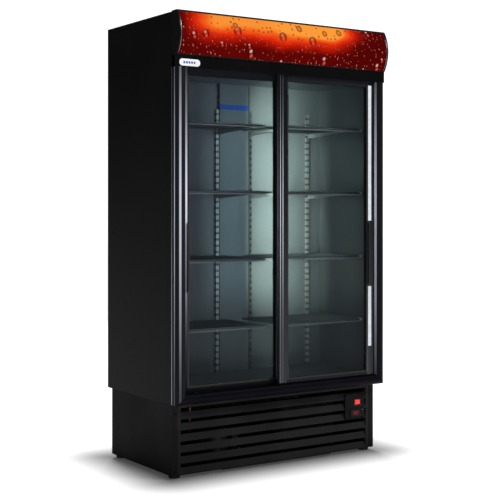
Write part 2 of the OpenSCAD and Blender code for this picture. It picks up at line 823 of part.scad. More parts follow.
module thermostat() in_place("#17191c") {
    y = post_y0 - panel_t;
    x0 = panel_x[1] - thermostat_w - 8;
    z0 = panel_z[0] + 12;
    difference() {
        span([x0, x0 + thermostat_w], [y - 4, y], [z0, z0 + thermostat_h]);
        span([x0 + 9, x0 + 45], [y - 5, y - 3], [z0 + 8, z0 + thermostat_h - 8]);
    }
    // raised keys
    for (i = [0, 1], j = [0, 1])
        span([x0 + 51 + i * 12, x0 + 59 + i * 12], [y - 4.6, y - 4],
             [z0 + 8 + j * 11, z0 + 15 + j * 11]);
}

// ---------- condensing unit ----------

module compressor() in_place("#18191b") {
    z0 = foot_h + skin_t;
    rib = 14;
    translate([compressor_x, compressor_y, z0]) {
        translate([0, 0, rib]) cylinder(r = compressor_r - 6, h = 12);
        translate([0, 0, rib + 10]) cylinder(r = compressor_r, h = 96);
        translate([0, 0, rib + 106]) cylinder(r1 = compressor_r, r2 = compressor_r - 12, h = 18);
        translate([0, 0, rib + 124]) cylinder(r1 = compressor_r - 12, r2 = compressor_r - 40, h = 14);
        for (sx = [-1, 1], sy = [-1, 1]) translate([sx * 86, sy * 56, 0]) cylinder(r = 11, h = rib);
        translate([-102, -74, rib - 2]) cube([204, 148, 3]);
        translate([compressor_r - 6, -34, rib + 34]) cube([34, 68, 56]);
    }
    // brazed stubs for the suction and discharge lines
    stub_d = 2 * pipe_r + 4;
    rod_y(stub_d, compressor_x, [compressor_y + compressor_r / 2, suction_y], suction_z);
    rod_y(stub_d, discharge_x, [discharge_y, compressor_y - compressor_r / 2], discharge_z);
}

module condenser_coil() in_place("#9da3a6") {
    half = fan_r + 46;
    x = [fan_x - half, fan_x + half];
    y = [coil_y, coil_y + coil_d];
    z = [foot_h + skin_t, fan_z + fan_r + 16];
    fin_pitch = 8;
    span([x[0], x[0] + 2], y, z);
    span([x[1] - 2, x[1]], y, z);
    for (fx = [x[0] + fin_pitch:fin_pitch:x[1] - fin_pitch]) span([fx, fx + 0.8], [y[0] + 2, y[1] - 2], z);
    rows = floor((z[1] - z[0] - 20) / 34);
    for (j = [0:rows], k = [0:1])
        rod_x(9, [x[0] - 8, x[1] + 8], y[0] + 12 + k * 20, z[0] + 16 + j * 34);
}

module condenser_shroud() in_place("#1d1f21") {
    half = fan_r + 46;
    z = [foot_h + skin_t, fan_z + fan_r + 16];
    y = [shroud_y, shroud_y + shroud_d];
    difference() {
        union() {
            span([fan_x - half, fan_x + half], [y[0], y[0] + 2], z);
            rod_y(2 * fan_r + 14, fan_x, y, fan_z);
        }
        rod_y(2 * fan_r + 8, fan_x, [y[0] - 1, y[1] + 1], fan_z);
    }
    // motor on its bracket, behind the rotor
    rod_y(66, fan_x, [rotor_y + rotor_d + 6, rotor_y + rotor_d + 66], fan_z);
    arm_y = rotor_y + rotor_d + 22;
    arm_z = [fan_z - 10, fan_z + 10];
    span([fan_x - half, fan_x + half], [arm_y, arm_y + 3], arm_z);
    for (x = [fan_x - half, fan_x + half - 3]) span([x, x + 3], [y[0], arm_y + 3], arm_z);
    rod_y(10, fan_x, [rotor_y + 4, rotor_y + rotor_d + 10], fan_z);
}

module condenser_rotor() in_place("#8c9296") {
    bore = 5 + run_gap;
    translate([fan_x, rotor_y, fan_z]) rotate([-90, 0, 0]) difference() {
        union() {
            cylinder(r = 30, h = rotor_d);
            for (a = [0:72:288]) rotate([0, 0, a]) translate([26, 0, rotor_d / 2])
                rotate([24, 0, 0]) translate([0, -26, -1]) cube([fan_r - 30, 52, 2]);
        }
        translate([0, 0, 3.7]) cylinder(r = bore, h = rotor_d);
    }
}

// a quarter bend in the (y, z) plane, from running along +y to running along +z
module pipe_bend(x, y, z, r) {
    translate([x, y, z + r]) rotate([90, 0, 90]) rotate([0, 0, -90])
        rotate_extrude(angle = 90) translate([r, 0]) circle(r = pipe_r);
}

module refrigerant_pipes() in_place("#b46a3c") {
    d = 2 * pipe_r;
    pan_z = foot_h + skin_t;
    bend = 4 * pipe_r;
    // suction line: from the shell to the rear, then up to the cabinet's underside
    y1 = base_y1 - 60;
    rod_y(d, compressor_x, [suction_y, y1 - bend], suction_z);
    pipe_bend(compressor_x, y1 - bend, suction_z, bend);
    rod_z(d, compressor_x, y1, [suction_z + bend, body_z0]);
    // discharge line: from the shell forwards, then across to the condenser
    x1 = fan_x - fan_r - 46;
    y2 = coil_y + coil_d / 2;
    rod_y(d, discharge_x, [y2, discharge_y], discharge_z);
    rod_x(d, [discharge_x, x1], y2, discharge_z);
    translate([discharge_x, y2, discharge_z]) sphere(r = 1.2 * pipe_r);
    // receiver on two saddles, and its line to the suction side
    receiver_x = [60, 240];
    rod_x(46, receiver_x, y1, pan_z + 40);
    for (x = [receiver_x[0] + 30, receiver_x[1] - 34])
        span([x, x + 4], [y1 - 20, y1 + 20], [pan_z, pan_z + 30]);
    rod_x(d, [compressor_x, receiver_x[0] + 1], y1, pan_z + 40);
    rod_z(d, compressor_x, y1, [pan_z + 40, suction_z + bend]);
}

module feet() in_place(black_c) {
    r = foot_d / 2;
    both_sides() for (y = [post_y0 + 12 + r, base_y1 - r - 10])
        translate([-base_x + r + 8, y, 0]) {
            cylinder(r1 = r - 2, r2 = r, h = 2);
            translate([0, 0, 2]) cylinder(r = r, h = 8);
            translate([0, 0, 10]) cylinder(r = 8, h = foot_h - 10);
        }
}

// ---------- nodes ----------

side_panel_left();
side_panel_right();
roof_panel();
rear_panel();
underside_panel();
foam_insulation();
liner_walls();
liner_floor();
liner_ceiling();
rear_duct();
centre_duct();
duct_label();
shelf_standards();
shelves(1);  // shelves_1
shelves(2);  // shelves_2
shelves(3);  // shelves_3
shelves(4);  // shelves_4
evaporator_coil();
evaporator_fans();
lamp_post();
lamp_lens();
frame_jamb_left();
frame_jamb_right();
frame_head();
frame_sill();
door_tracks();
left_door_outer_stile();
left_door_inner_stile();
left_door_rails();
left_door_glass();
left_door_handle();
left_door_roller_outer();
left_door_roller_inner();
right_door_outer_stile();
right_door_inner_stile();
right_door_rails();
right_door_glass();
right_door_handle();
right_door_roller_outer();
right_door_roller_inner();
canopy_end_caps();
canopy_panel();
canopy_trim();
canopy_back();
canopy_lamps();
fascia();
badge();
base_sides();
base_pan();
base_rear_grille();
front_grille();
control_panel();
power_rocker();
thermostat();
compressor();
condenser_coil();
condenser_shroud();
condenser_rotor();
refrigerant_pipes();
feet();
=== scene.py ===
"""Looks of an upright two-door glass merchandiser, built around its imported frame.

Every length is in metres and every place is in the frame's own axes: +Z is up, the doors
face -Y and +X is to the right. Places come from the frame's nodes.
"""

import json
import logging
import math
from contextlib import contextmanager
from dataclasses import dataclass, field
from enum import Enum
from typing import Callable, Iterator, Sequence, Union

import bmesh
import bpy
from mathutils import Matrix, Vector


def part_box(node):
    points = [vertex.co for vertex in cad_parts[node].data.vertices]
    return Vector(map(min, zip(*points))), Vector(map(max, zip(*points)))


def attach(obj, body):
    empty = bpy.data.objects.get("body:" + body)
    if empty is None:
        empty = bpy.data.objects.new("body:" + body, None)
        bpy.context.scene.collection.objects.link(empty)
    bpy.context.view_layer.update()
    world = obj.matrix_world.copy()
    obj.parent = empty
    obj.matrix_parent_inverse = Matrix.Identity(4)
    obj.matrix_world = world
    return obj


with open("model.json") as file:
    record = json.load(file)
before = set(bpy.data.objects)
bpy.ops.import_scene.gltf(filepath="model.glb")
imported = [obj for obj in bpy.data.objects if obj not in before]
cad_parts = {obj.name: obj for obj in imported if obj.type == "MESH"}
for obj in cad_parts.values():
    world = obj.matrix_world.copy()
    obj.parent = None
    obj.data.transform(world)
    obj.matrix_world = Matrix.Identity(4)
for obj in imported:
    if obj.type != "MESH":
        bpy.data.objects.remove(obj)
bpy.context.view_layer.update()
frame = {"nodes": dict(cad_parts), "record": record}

SIDES = ("left", "right")
LEVELS = range(1, 5)

log = logging.getLogger("merchandiser")

Number = Union[int, float]
Operand = Union["Value", int, float]
Colour = tuple[float, float, float]
Span = tuple[Vector, Vector]


# ---------------------------------------------------------------- shader kit


class Value:
    """A socket that can be used in arithmetic; each operation adds a Math node."""

    def __init__(self, shader: "Shader", socket: bpy.types.NodeSocket) -> None:
        """Wraps a socket.

        Args:
            shader: The shader whose tree the socket belongs to.
            socket: The output socket that carries the value.
        """
        self.shader = shader
        self.socket = socket

    def _math(self, operation: str, *others: Operand, clamp: bool = False) -> "Value":
        """Adds one Math node with this value first.

        Args:
            operation: The Math node's operation.
            others: The other inputs, in order.
            clamp: Whether the result is held between 0 and 1.

        Returns:
            The node's result.
        """
        inputs = dict(enumerate((self, *others)))
        made = self.shader.node("ShaderNodeMath", {"operation": operation, "use_clamp": clamp}, inputs)
        return Value(self.shader, made.outputs[0])

    def __add__(self, other: Operand) -> "Value":
        """Returns self + other."""
        return self._math("ADD", other)

    __radd__ = __add__

    def __mul__(self, other: Operand) -> "Value":
        """Returns self * other."""
        return self._math("MULTIPLY", other)

    __rmul__ = __mul__

    def __sub__(self, other: Operand) -> "Value":
        """Returns self - other."""
        return self._math("SUBTRACT", other)

    def __rsub__(self, other: Number) -> "Value":
        """Returns other - self."""
        return (self * -1.0) + other

    def __truediv__(self, other: Operand) -> "Value":
        """Returns self / other."""
        return self._math("DIVIDE", other)

    def __lt__(self, other: Operand) -> "Value":
        """Returns 1 where self is below other, and 0 elsewhere."""
        return self._math("LESS_THAN", other)

    def clamped(self) -> "Value":
        """Returns self held between 0 and 1."""
        return self._math("ADD", 0.0, clamp=True)

    def abs(self) -> "Value":
        """Returns the size of self."""
        return self._math("ABSOLUTE")

    def power(self, exponent: Number) -> "Value":
        """Returns self to a power."""
        return self._math("POWER", exponent)

    def wrapped(self, period: Number) -> "Value":
        """Returns self wrapped into 0 to period."""
        return self._math("WRAP", period, 0.0)

    def largest(self, other: Operand) -> "Value":
        """Returns the higher of self and other."""
        return self._math("MAXIMUM", other)

    def eased(self, low: Number, high: Number) -> "Value":
        """Rises smoothly from 0 at low to 1 at high, or falls where low is the higher.

        Args:
            low: Where the result is 0.
            high: Where the result is 1.

        Returns:
            The eased value.
        """
        made = self.shader.node(
            "ShaderNodeMapRange",
            {"interpolation_type": "SMOOTHSTEP"},
            {"Value": self, "From Min": low, "From Max": high},
        )
        return Value(self.shader, made.outputs[0])


class Shader:
    """One material's node tree around a Principled BSDF."""

    def __init__(self, name: str) -> None:
        """Makes an empty material.

        Args:
            name: The material's name.
        """
        self.material = bpy.data.materials.new(name)
        self.material.use_nodes = True
        self.tree = self.material.node_tree
        self.tree.nodes.clear()
        self.output = self.tree.nodes.new("ShaderNodeOutputMaterial")
        self.surface = self.tree.nodes.new("ShaderNodeBsdfPrincipled")
        self.tree.links.new(self.surface.outputs[0], self.output.inputs["Surface"])
        self._place: Union[bpy.types.NodeSocket, None] = None

    def node(self, kind: str, settings: dict | None = None, inputs: dict | None = None) -> bpy.types.Node:
        """Adds a node.

        Args:
            kind: The node's type name.
            settings: Properties, set before the sockets; "stops" fills a colour ramp.
            inputs: Values, sockets or Values for the input sockets, by name or number.

        Returns:
            The node.
        """
        made = self.tree.nodes.new(kind)
        for key, value in (settings or {}).items():
            if key == "stops":
                self._fill_ramp(made.color_ramp, value)
            else:
                setattr(made, key, value)
        for key, value in (inputs or {}).items():
            self.feed(made.inputs[key], value)
        return made

    def feed(self, socket: bpy.types.NodeSocket, value: object) -> None:
        """Links or sets one input socket.

        Args:
            socket: The input socket.
            value: A Value, a socket, a number, or a tuple.
        """
        if isinstance(value, Value):
            self.tree.links.new(value.socket, socket)
        elif isinstance(value, bpy.types.NodeSocket):
            self.tree.links.new(value, socket)
        elif isinstance(value, tuple) and len(value) == 3 and socket.type == "RGBA":
            socket.default_value = (*value, 1.0)
        else:
            socket.default_value = value

    @staticmethod
    def _fill_ramp(ramp: bpy.types.ColorRamp, stops: Sequence[tuple[float, Colour]]) -> None:
        """Gives a colour ramp its stops.

        Args:
            ramp: The ramp.
            stops: Pairs of position and colour, lowest first.
        """
        while len(ramp.elements) < len(stops):
            ramp.elements.new(1.0)
        for element, (position, colour) in zip(ramp.elements, stops):
            element.position = position
            element.color = (*colour, 1.0)

    def place(self) -> bpy.types.NodeSocket:
        """Returns the Object coordinates, which are metres in the frame's axes."""
        if self._place is None:
            self._place = self.node("ShaderNodeTexCoord").outputs["Object"]
        return self._place

    def axes(self) -> tuple[Value, Value, Value]:
        """Returns x, y and z in metres."""
        split = self.node("ShaderNodeSeparateXYZ", None, {0: self.place()})
        return tuple(Value(self, out) for out in split.outputs)

    def noise(self, scale: float, detail: float = 2.0, stretch: Colour = (1.0, 1.0, 1.0)) -> Value:
        """Returns a noise value around 0.5.

        Args:
            scale: Features per metre.
            detail: The number of finer layers.
            stretch: How each axis is scaled before the noise.

        Returns:
            The noise.
        """
        at = self.node("ShaderNodeMapping", None, {"Vector": self.place(), "Scale": stretch}).outputs[0]
        made = self.node("ShaderNodeTexNoise", None, {"Vector": at, "Scale": scale, "Detail": detail})
        return Value(self, made.outputs[0])

    def mix(self, factor: Value | float, low: object, high: object) -> bpy.types.NodeSocket:
        """Mixes two colours.

        Args:
            factor: 0 for low and 1 for high.
            low: A colour or a colour socket.
            high: A colour or a colour socket.

        Returns:
            The mixed colour.
        """
        made = self.node("ShaderNodeMix", {"data_type": "RGBA"}, {0: factor, 6: low, 7: high})
        return made.outputs[2]

    def bump(self, height: Value, distance: float) -> None:
        """Feeds a height to the surface's normal.

        Args:
            height: The height, from 0 to 1.
            distance: The height of 1, in metres.
        """
        made = self.node("ShaderNodeBump", None, {"Height": height, "Distance": distance, "Strength": 1.0})
        self.tree.links.new(made.outputs[0], self.surface.inputs["Normal"])

    def set(self, **values: object) -> None:
        """Feeds the Principled sockets.

        Args:
            values: Values by socket name, with underscores for spaces.
        """
        for key, value in values.items():
            self.feed(self.surface.inputs[key.replace("_", " ")], value)


# ---------------------------------------------------------------- finishes


def scaled(colour: Colour, by: float, plus: float = 0.0) -> Colour:
    """Returns a colour made paler or darker, held to 1."""
    return tuple(min(1.0, part * by + plus) for part in colour)


def worn(streaks: Value, cloud: Value) -> Value:
    """Returns streaks and clouds blended into one wear pattern."""
    return (streaks * 0.6 + cloud * 0.4).eased(0.3, 0.7)


@dataclass(frozen=True)
class Paint:
    """Painted or powder-coated metal with a fine orange peel."""

    name: str
    colour: Colour
    gloss: float = 0.45
    specular: float = 0.35
    peel: float = 0.00004
    grain: float = 900.0
    drift: float = 0.25

    def build(self) -> bpy.types.Material:
        """Returns the material."""
        s = Shader(self.name)
        cloud = s.noise(3.0, 4.0)
        fine = s.noise(self.grain, 2.0)
        pale, dark = scaled(self.colour, 1.0 + self.drift), scaled(self.colour, 1.0 - self.drift)
        s.set(Base_Color=s.mix(cloud.eased(0.35, 0.65), dark, pale))
        s.set(Roughness=self.gloss + (cloud - 0.5) * 0.08 + (fine - 0.5) * 0.1)
        s.set(Specular_IOR_Level=self.specular)
        s.bump(fine, self.peel)
        return s.material


@dataclass(frozen=True)
class Extrusion:
    """Anodised aluminium extrusion with fine die lines along its length."""

    name: str
    colour: Colour
    metal: float = 0.6
    gloss: float = 0.25
    along: str = "Z"
    coat: float = 0.4

    def build(self) -> bpy.types.Material:
        """Returns the material."""
        s = Shader(self.name)
        stretch = {"X": (0.01, 1.0, 1.0), "Y": (1.0, 0.01, 1.0), "Z": (1.0, 1.0, 0.01)}[self.along]
        lines = s.noise(1400.0, 3.0, stretch)
        cloud = s.noise(5.0, 3.0)
        pale = scaled(self.colour, 1.35, 0.004)
        s.set(Base_Color=s.mix(lines.eased(0.3, 0.7), self.colour, pale))
        s.set(Roughness=self.gloss + (lines - 0.5) * 0.16 + (cloud - 0.5) * 0.06)
        s.set(Metallic=self.metal, Coat_Weight=self.coat, Coat_Roughness=0.12)
        s.bump(lines, 0.00003)
        return s.material


@dataclass(frozen=True)
class Plastic:
    """Moulded plastic or rubber with a spark-eroded grain."""

    name: str
    colour: Colour
    gloss: float = 0.5
    grain: float = 1500.0
    depth: float = 0.00005
    specular: float = 0.4

    def build(self) -> bpy.types.Material:
        """Returns the material."""
        s = Shader(self.name)
        cells = s.node("ShaderNodeTexVoronoi", None, {"Vector": s.place(), "Scale": self.grain})
        grain = Value(s, cells.outputs["Distance"])
        cloud = s.noise(25.0, 3.0)
        pale = scaled(self.colour, 1.15, 0.003)
        s.set(Base_Color=s.mix(cloud.eased(0.3, 0.7), self.colour, pale))
        s.set(Roughness=self.gloss + (cloud - 0.5) * 0.12, Specular_IOR_Level=self.specular)
        s.bump(grain, self.depth)
        return s.material


@dataclass(frozen=True)
class BareMetal:
    """Bare or plated metal with drawn streaks or zinc spangle."""

    name: str
    colour: Colour
    gloss: float = 0.3
    streak: Colour = (1.0, 1.0, 1.0)
    scale: float = 220.0
    tarnish: float = 0.3

    def build(self) -> bpy.types.Material:
        """Returns the material."""
        s = Shader(self.name)
        streaks = s.noise(self.scale, 3.0, self.streak)
        cloud = s.noise(9.0, 4.0)
        dull = scaled(self.colour, 1.0 - self.tarnish)
        s.set(Base_Color=s.mix(worn(streaks, cloud), dull, self.colour))
        s.set(Roughness=self.gloss + (streaks - 0.5) * 0.2 + (cloud - 0.5) * 0.1, Metallic=1.0)
        s.bump(streaks, 0.00003)
        return s.material


@dataclass(frozen=True)
class ShelfSteel:
    """Dark coated wires on paler zinc-plated brackets."""

    name: str
    wire: Colour
    bracket: Colour
    split_z: float

    def build(self) -> bpy.types.Material:
        """Returns the material."""
        s = Shader(self.name)
        _, _, z = s.axes()
        streaks = s.noise(220.0, 3.0, (0.02, 1.0, 1.0))
        cloud = s.noise(9.0, 4.0)
        under = z.eased(self.split_z + 0.0005, self.split_z - 0.0005)
        wire = s.mix(worn(streaks, cloud), scaled(self.wire, 0.7), self.wire)
        s.set(Base_Color=s.mix(under, wire, self.bracket), Metallic=1.0 - under * 0.8)
        s.set(Roughness=0.34 + (streaks - 0.5) * 0.2 + (cloud - 0.5) * 0.1)
        s.bump(streaks, 0.00003)
        return s.material


@dataclass(frozen=True)
class SealedFoam:
    """Cream foam, sealed with black mastic where its front edge is open to the air."""

    name: str
    front_y: float

    def build(self) -> bpy.types.Material:
        """Returns the material."""
        s = Shader(self.name)
        _, y, _ = s.axes()
        cells = s.noise(700.0, 3.0)
        sealed = y.eased(self.front_y + 0.006, self.front_y + 0.004)
        cream = s.mix(cells, (0.70, 0.62, 0.36), (0.80, 0.73, 0.46))
        s.set(Base_Color=s.mix(sealed, cream, (0.004, 0.004, 0.005)), Roughness=0.85 + (cells - 0.5) * 0.1)
        s.bump(cells, 0.0004)
        return s.material


@dataclass(frozen=True)
class LinerSheet:
    """Pale pre-painted liner steel, darker towards the floor."""

    name: str
    colour: Colour
    floor_z: float
    top_z: float

    def build(self) -> bpy.types.Material:
        """Returns the material."""
        s = Shader(self.name)
        _, _, z = s.axes()
        # The liner is darker towards the floor.
        rise = z.eased(self.floor_z, self.top_z)
        cloud = s.noise(4.0, 4.0)
        fine = s.noise(500.0, 2.0)
        low = scaled(self.colour, 0.72)
        s.set(Base_Color=s.mix((rise * 0.8 + cloud * 0.3).clamped(), low, self.colour))
        s.set(Roughness=0.42 + (cloud - 0.5) * 0.12 + (fine - 0.5) * 0.06, Specular_IOR_Level=0.4)
        s.bump(fine, 0.00003)
        return s.material


@dataclass(frozen=True)
class Glazing:
    """Clear glass: see-through, with reflections and a faint smear."""

    name: str
    tint: Colour = (0.945, 0.955, 0.962)
    sheen: float = 0.5

    def build(self) -> bpy.types.Material:
        """Returns the material."""
        s = Shader(self.name)
        smear = s.noise(7.0, 5.0, (1.0, 1.0, 0.35))
        s.set(Base_Color=(0.02, 0.025, 0.025), Specular_IOR_Level=0.5)
        s.set(Roughness=0.02 + smear.eased(0.45, 0.8) * 0.05)
        clear = s.node("ShaderNodeBsdfTransparent", None, {"Color": self.tint})
        fresnel = Value(s, s.node("ShaderNodeFresnel", None, {"IOR": 1.45}).outputs[0])
        blend = s.node("ShaderNodeMixShader")
        s.feed(blend.inputs[0], (fresnel * self.sheen + 0.006).clamped())
        s.tree.links.new(clear.outputs[0], blend.inputs[1])
        s.tree.links.new(s.surface.outputs[0], blend.inputs[2])
        s.tree.links.new(blend.outputs[0], s.output.inputs["Surface"])
        return s.material


@dataclass(frozen=True)
class Glow:
    """A lit diffuser with slight mottling."""

    name: str
    colour: Colour
    strength: float

    def build(self) -> bpy.types.Material:
        """Returns the material."""
        s = Shader(self.name)
        mottle = s.noise(60.0, 2.0)
        shade = s.mix(mottle.eased(0.3, 0.7), scaled(self.colour, 0.85), self.colour)
        s.set(Base_Color=shade, Emission_Color=shade, Emission_Strength=self.strength, Roughness=0.5)
        return s.material


@dataclass(frozen=True)
class Bead:
    """One size of water bead on the canopy's print."""

    per_metre: float
    share: float
    size: float
    seed: float
    body: float = 1.0


@dataclass(frozen=True)
class FizzyCanopy:
    """Backlit amber drink under beads of cold water, printed on the canopy's panel."""

    name: str
    low: Vector
    high: Vector
    strength: float = 0.92
    beads: tuple[Bead, ...] = (
        Bead(70.0, 0.22, 0.25, 1.9, 0.0),
        Bead(42.0, 0.36, 0.22, 8.7, 1.25),
        Bead(12.5, 0.55, 0.26, 5.9),
    )

    def build(self) -> bpy.types.Material:
        """Returns the material."""
        s = Shader(self.name)
        x, _, z = s.axes()
        u = (x - self.low.x) / (self.high.x - self.low.x)
        v = (z - self.low.z) / (self.high.z - self.low.z)
        glow = self._glow(s, u, v)
        shade = s.node("ShaderNodeValToRGB", {"stops": (
            (0.0, (0.020, 0.0006, 0.0004)),
            (0.22, (0.120, 0.0022, 0.0016)),
            (0.46, (0.48, 0.010, 0.002)),
            (0.64, (0.76, 0.030, 0.004)),
            (0.82, (0.88, 0.115, 0.011)),
            (1.0, (0.97, 0.33, 0.040)),
        )}, {0: glow}).outputs[0]
        for bead in self.beads:
            shade = self._lay(s, shade, bead, x, z, glow)
        s.set(Base_Color=s.mix(0.9, shade, (0.001, 0.0, 0.0)))
        s.set(Emission_Color=shade, Emission_Strength=self.strength)
        s.set(Roughness=0.35, Specular_IOR_Level=0.0)
        return s.material

    @staticmethod
    def _glow(s: Shader, u: Value, v: Value) -> Value:
        """Light behind the drink: brightest high up, right of the middle, dark at both ends.

        Args:
            s: The shader.
            u: Place along the canopy, from 0 to 1.
            v: Height on the canopy, from 0 to 1.

        Returns:
            The light, from 0 to 1.
        """
        swirl = s.noise(4.5, 3.0, (1.0, 1.0, 1.6)) - 0.5
        left = (u + swirl * 0.06).eased(-0.03, 0.17)
        right = (u + swirl * 0.10 - v * 0.04).eased(0.87, 0.62)
        edge = 0.26 + u * 0.22 + swirl * 0.55
        rise = (v - edge).eased(-0.22, 0.48)
        core = (u - 0.68).abs().eased(0.30, 0.0) * v.eased(0.50, 0.85)
        drink = left * right * (rise * 0.78 + 0.05) + core * left * 0.42
        return (drink + 0.13 + swirl * 0.10).clamped()

    @staticmethod
    def _lay(
        s: Shader, under: bpy.types.NodeSocket, bead: Bead, x: Value, z: Value, glow: Value
    ) -> bpy.types.NodeSocket:
        """Lays one size of bead over the drink.

        Args:
            s: The shader.
            under: The colour beneath.
            bead: The size of bead.
            x: Place along the canopy, in metres.
            z: Height, in metres.
            glow: The light behind the drink.

        Returns:
            The colour with its beads.
        """
        at = s.node("ShaderNodeCombineXYZ", None, {0: x + bead.seed, 1: z + bead.seed * 0.7}).outputs[0]
        cells = s.node(
            "ShaderNodeTexVoronoi",
            {"voronoi_dimensions": "2D"},
            {"Vector": at, "Scale": bead.per_metre, "Randomness": 0.95},
        )
        pick = s.node("ShaderNodeSeparateColor", None, {0: cells.outputs["Color"]})
        size = Value(s, pick.outputs[1]) * bead.size * 0.6 + bead.size * 0.6
        ratio = Value(s, cells.outputs["Distance"]) / size
        inside = ratio.eased(1.0, 0.82) * (Value(s, pick.outputs[0]) < bead.share)
        away = s.node("ShaderNodeVectorMath", {"operation": "SUBTRACT"}, {0: at, 1: cells.outputs["Position"]})
        split = s.node("ShaderNodeSeparateXYZ", None, {0: away.outputs[0]})
        side = Value(s, split.outputs[0]) * bead.per_metre / size
        up = Value(s, split.outputs[1]) * bead.per_metre / size
        top = ((side + 0.2).power(2.0) + (up - 0.38).power(2.0)).eased(0.20, 0.03)
        foot = ((side - 0.1).power(2.0) + (up + 0.48).power(2.0)).eased(0.22, 0.03)
        body = ((ratio.eased(0.1, 0.95) * 0.55 + 0.25) * bead.body).clamped()
        shade = s.mix(body, under, (0.045, 0.003, 0.003))
        shade = s.mix(foot * 0.8, shade, (0.80, 0.075, 0.040))
        shade = s.mix(top * (glow * -0.80 + 0.86), shade, (0.85, 0.50, 0.42))
        return s.mix(inside, under, shade)


HighlightBand = tuple[float, float, float]


def highlight_band(edge: float, low: float, high: float, highlight_strength: float) -> HighlightBand:
    """Returns a painted highlight band between two distances from an edge, with its strength."""
    return (edge + low, edge + high, highlight_strength)


@dataclass(frozen=True)
class Profile:
    """Anodised door profile with painted highlights: pale bands along its length where its ribs would catch
    the light.
    """

    name: str
    colour: Colour
    highlight_bands: tuple[HighlightBand, ...] = ()
    sides: tuple[HighlightBand, ...] = ()
    highlight_focus: float = 0.0
    highlight_fade_z: float = 0.0
    gloss: float = 0.26
    metal: float = 0.55
    coat: float = 0.25
    soft: float = 0.0012

    def build(self) -> bpy.types.Material:
        """Returns the material, with a painted highlight between each band's two places along x or y."""
        s = Shader(self.name)
        x, y, z = s.axes()
        lines = s.noise(1400.0, 3.0, (1.0, 1.0, 0.01))
        cloud = s.noise(4.0, 3.0)
        level = lines * 0.004
        # Painted highlight: each band pales the colour between its two places.
        for across, highlight_bands in ((x, self.highlight_bands), (y, self.sides)):
            for low, high, highlight_strength in highlight_bands:
                start = across.eased(low - self.soft, low + self.soft)
                level = level + start * across.eased(high + self.soft, high - self.soft) * highlight_strength
        # The painted highlights are brightest at mid height and dim towards both ends.
        if self.highlight_focus:
            middle = z.eased(0.30, 1.22) * z.eased(1.95, 1.22)
            level = level * (middle.power(self.highlight_focus) * 0.92 + 0.08)
        # The painted highlights fade out towards the bottom, below the fade height.
        if self.highlight_fade_z:
            level = level * z.eased(self.highlight_fade_z - 0.35, self.highlight_fade_z + 0.25)
        s.set(Base_Color=s.mix((level * 2.0).clamped(), self.colour, (0.80, 0.83, 0.95)))
        s.set(Roughness=self.gloss + (lines - 0.5) * 0.1 + (cloud - 0.5) * 0.05, Metallic=self.metal)
        s.set(Coat_Weight=self.coat, Coat_Roughness=0.15, Specular_IOR_Level=self.metal * 0.5)
        s.bump(lines, 0.00003)
        return s.material


@dataclass(frozen=True)
class SlottedSteel:
    """Bright zinc standard with painted shadow in its punched slots and painted shade over the standards in
    its shaded x range.
    """

    name: str
    pitch: float
    slot: float
    start: float
    shaded: tuple[float, float]

    def build(self) -> bpy.types.Material:
        """Returns the material."""
        s = Shader(self.name)
        x, _, z = s.axes()
        streaks = s.noise(300.0, 3.0, (1.0, 1.0, 0.05))
        # Painted shadow in each punched slot.
        turn = (z - self.start).wrapped(self.pitch)
        shadow = turn.eased(self.slot, self.slot - 0.002) * turn.eased(-0.001, 0.001)
        bright = s.mix(streaks, (0.26, 0.28, 0.30), (0.44, 0.47, 0.50))
        low, high = self.shaded
        # Painted shade: the standards between the two shaded places are darker.
        dark = x.eased(low, low + 0.004) * x.eased(high, high - 0.004)
        bright = s.mix(dark * 0.85, bright, (0.050, 0.062, 0.064))
        s.set(Base_Color=s.mix(shadow * 0.75, bright, (0.06, 0.07, 0.08)))
        s.set(Roughness=0.42 + (streaks - 0.5) * 0.2, Metallic=0.35, Specular_IOR_Level=0.5)
        s.bump(streaks, 0.00003)
        return s.material


# ---------------------------------------------------------------- modelling kit


def deselect() -> None:
    """Leaves edit mode and selects nothing."""
    if bpy.context.object and bpy.context.object.mode != "OBJECT":
        bpy.ops.object.mode_set(mode="OBJECT")
    bpy.ops.object.select_all(action="DESELECT")


def settle(name: str) -> bpy.types.Object:
    """Names the active object and puts its place, turn and scale into its mesh.

    Args:
        name: The piece's name.

    Returns:
        The object, at the origin.
    """
    made = bpy.context.object
    made.name = name
    made.data.name = name
    bpy.ops.object.transform_apply(location=True, rotation=True, scale=True)
    return made


def block(name: str, low: Sequence[float], high: Sequence[float]) -> bpy.types.Object:
    """Starts a piece as a box between two corners.

    Args:
        name: The piece's name.
        low: The lowest corner.
        high: The highest corner.

    Returns:
        The object.
    """
    deselect()
    low, high = Vector(low), Vector(high)
    bpy.ops.mesh.primitive_cube_add(size=1.0, location=(low + high) / 2, scale=high - low)
    return settle(name)


def disc(
    name: str, radius: float, depth: float, at: Sequence[float], axis: str, sides: int
) -> bpy.types.Object:
    """Starts a piece as a cylinder.

    Args:
        name: The piece's name.
        radius: The cylinder's radius.
        depth: Its length.
        at: Its middle.
        axis: The axis that it lies along.
        sides: The number of sides.

    Returns:
        The object.
    """
    deselect()
    turn = {"X": (0.0, math.pi / 2, 0.0), "Y": (math.pi / 2, 0.0, 0.0), "Z": (0.0, 0.0, 0.0)}[axis]
    bpy.ops.mesh.primitive_cylinder_add(
        vertices=sides, radius=radius, depth=depth, location=at, rotation=turn
    )
    return settle(name)


@contextmanager
def editing(piece: bpy.types.Object) -> Iterator[bmesh.types.BMesh]:
    """Opens a piece in edit mode with nothing selected, and closes it again.

    Args:
        piece: The piece.

    Yields:
        The edit mesh.
    """
    deselect()
    bpy.context.view_layer.objects.active = piece
    piece.select_set(True)
    bpy.ops.object.mode_set(mode="EDIT")
    bpy.ops.mesh.select_mode(type="FACE")
    bpy.ops.mesh.select_all(action="DESELECT")
    yield bmesh.from_edit_mesh(piece.data)
    bpy.ops.object.mode_set(mode="OBJECT")


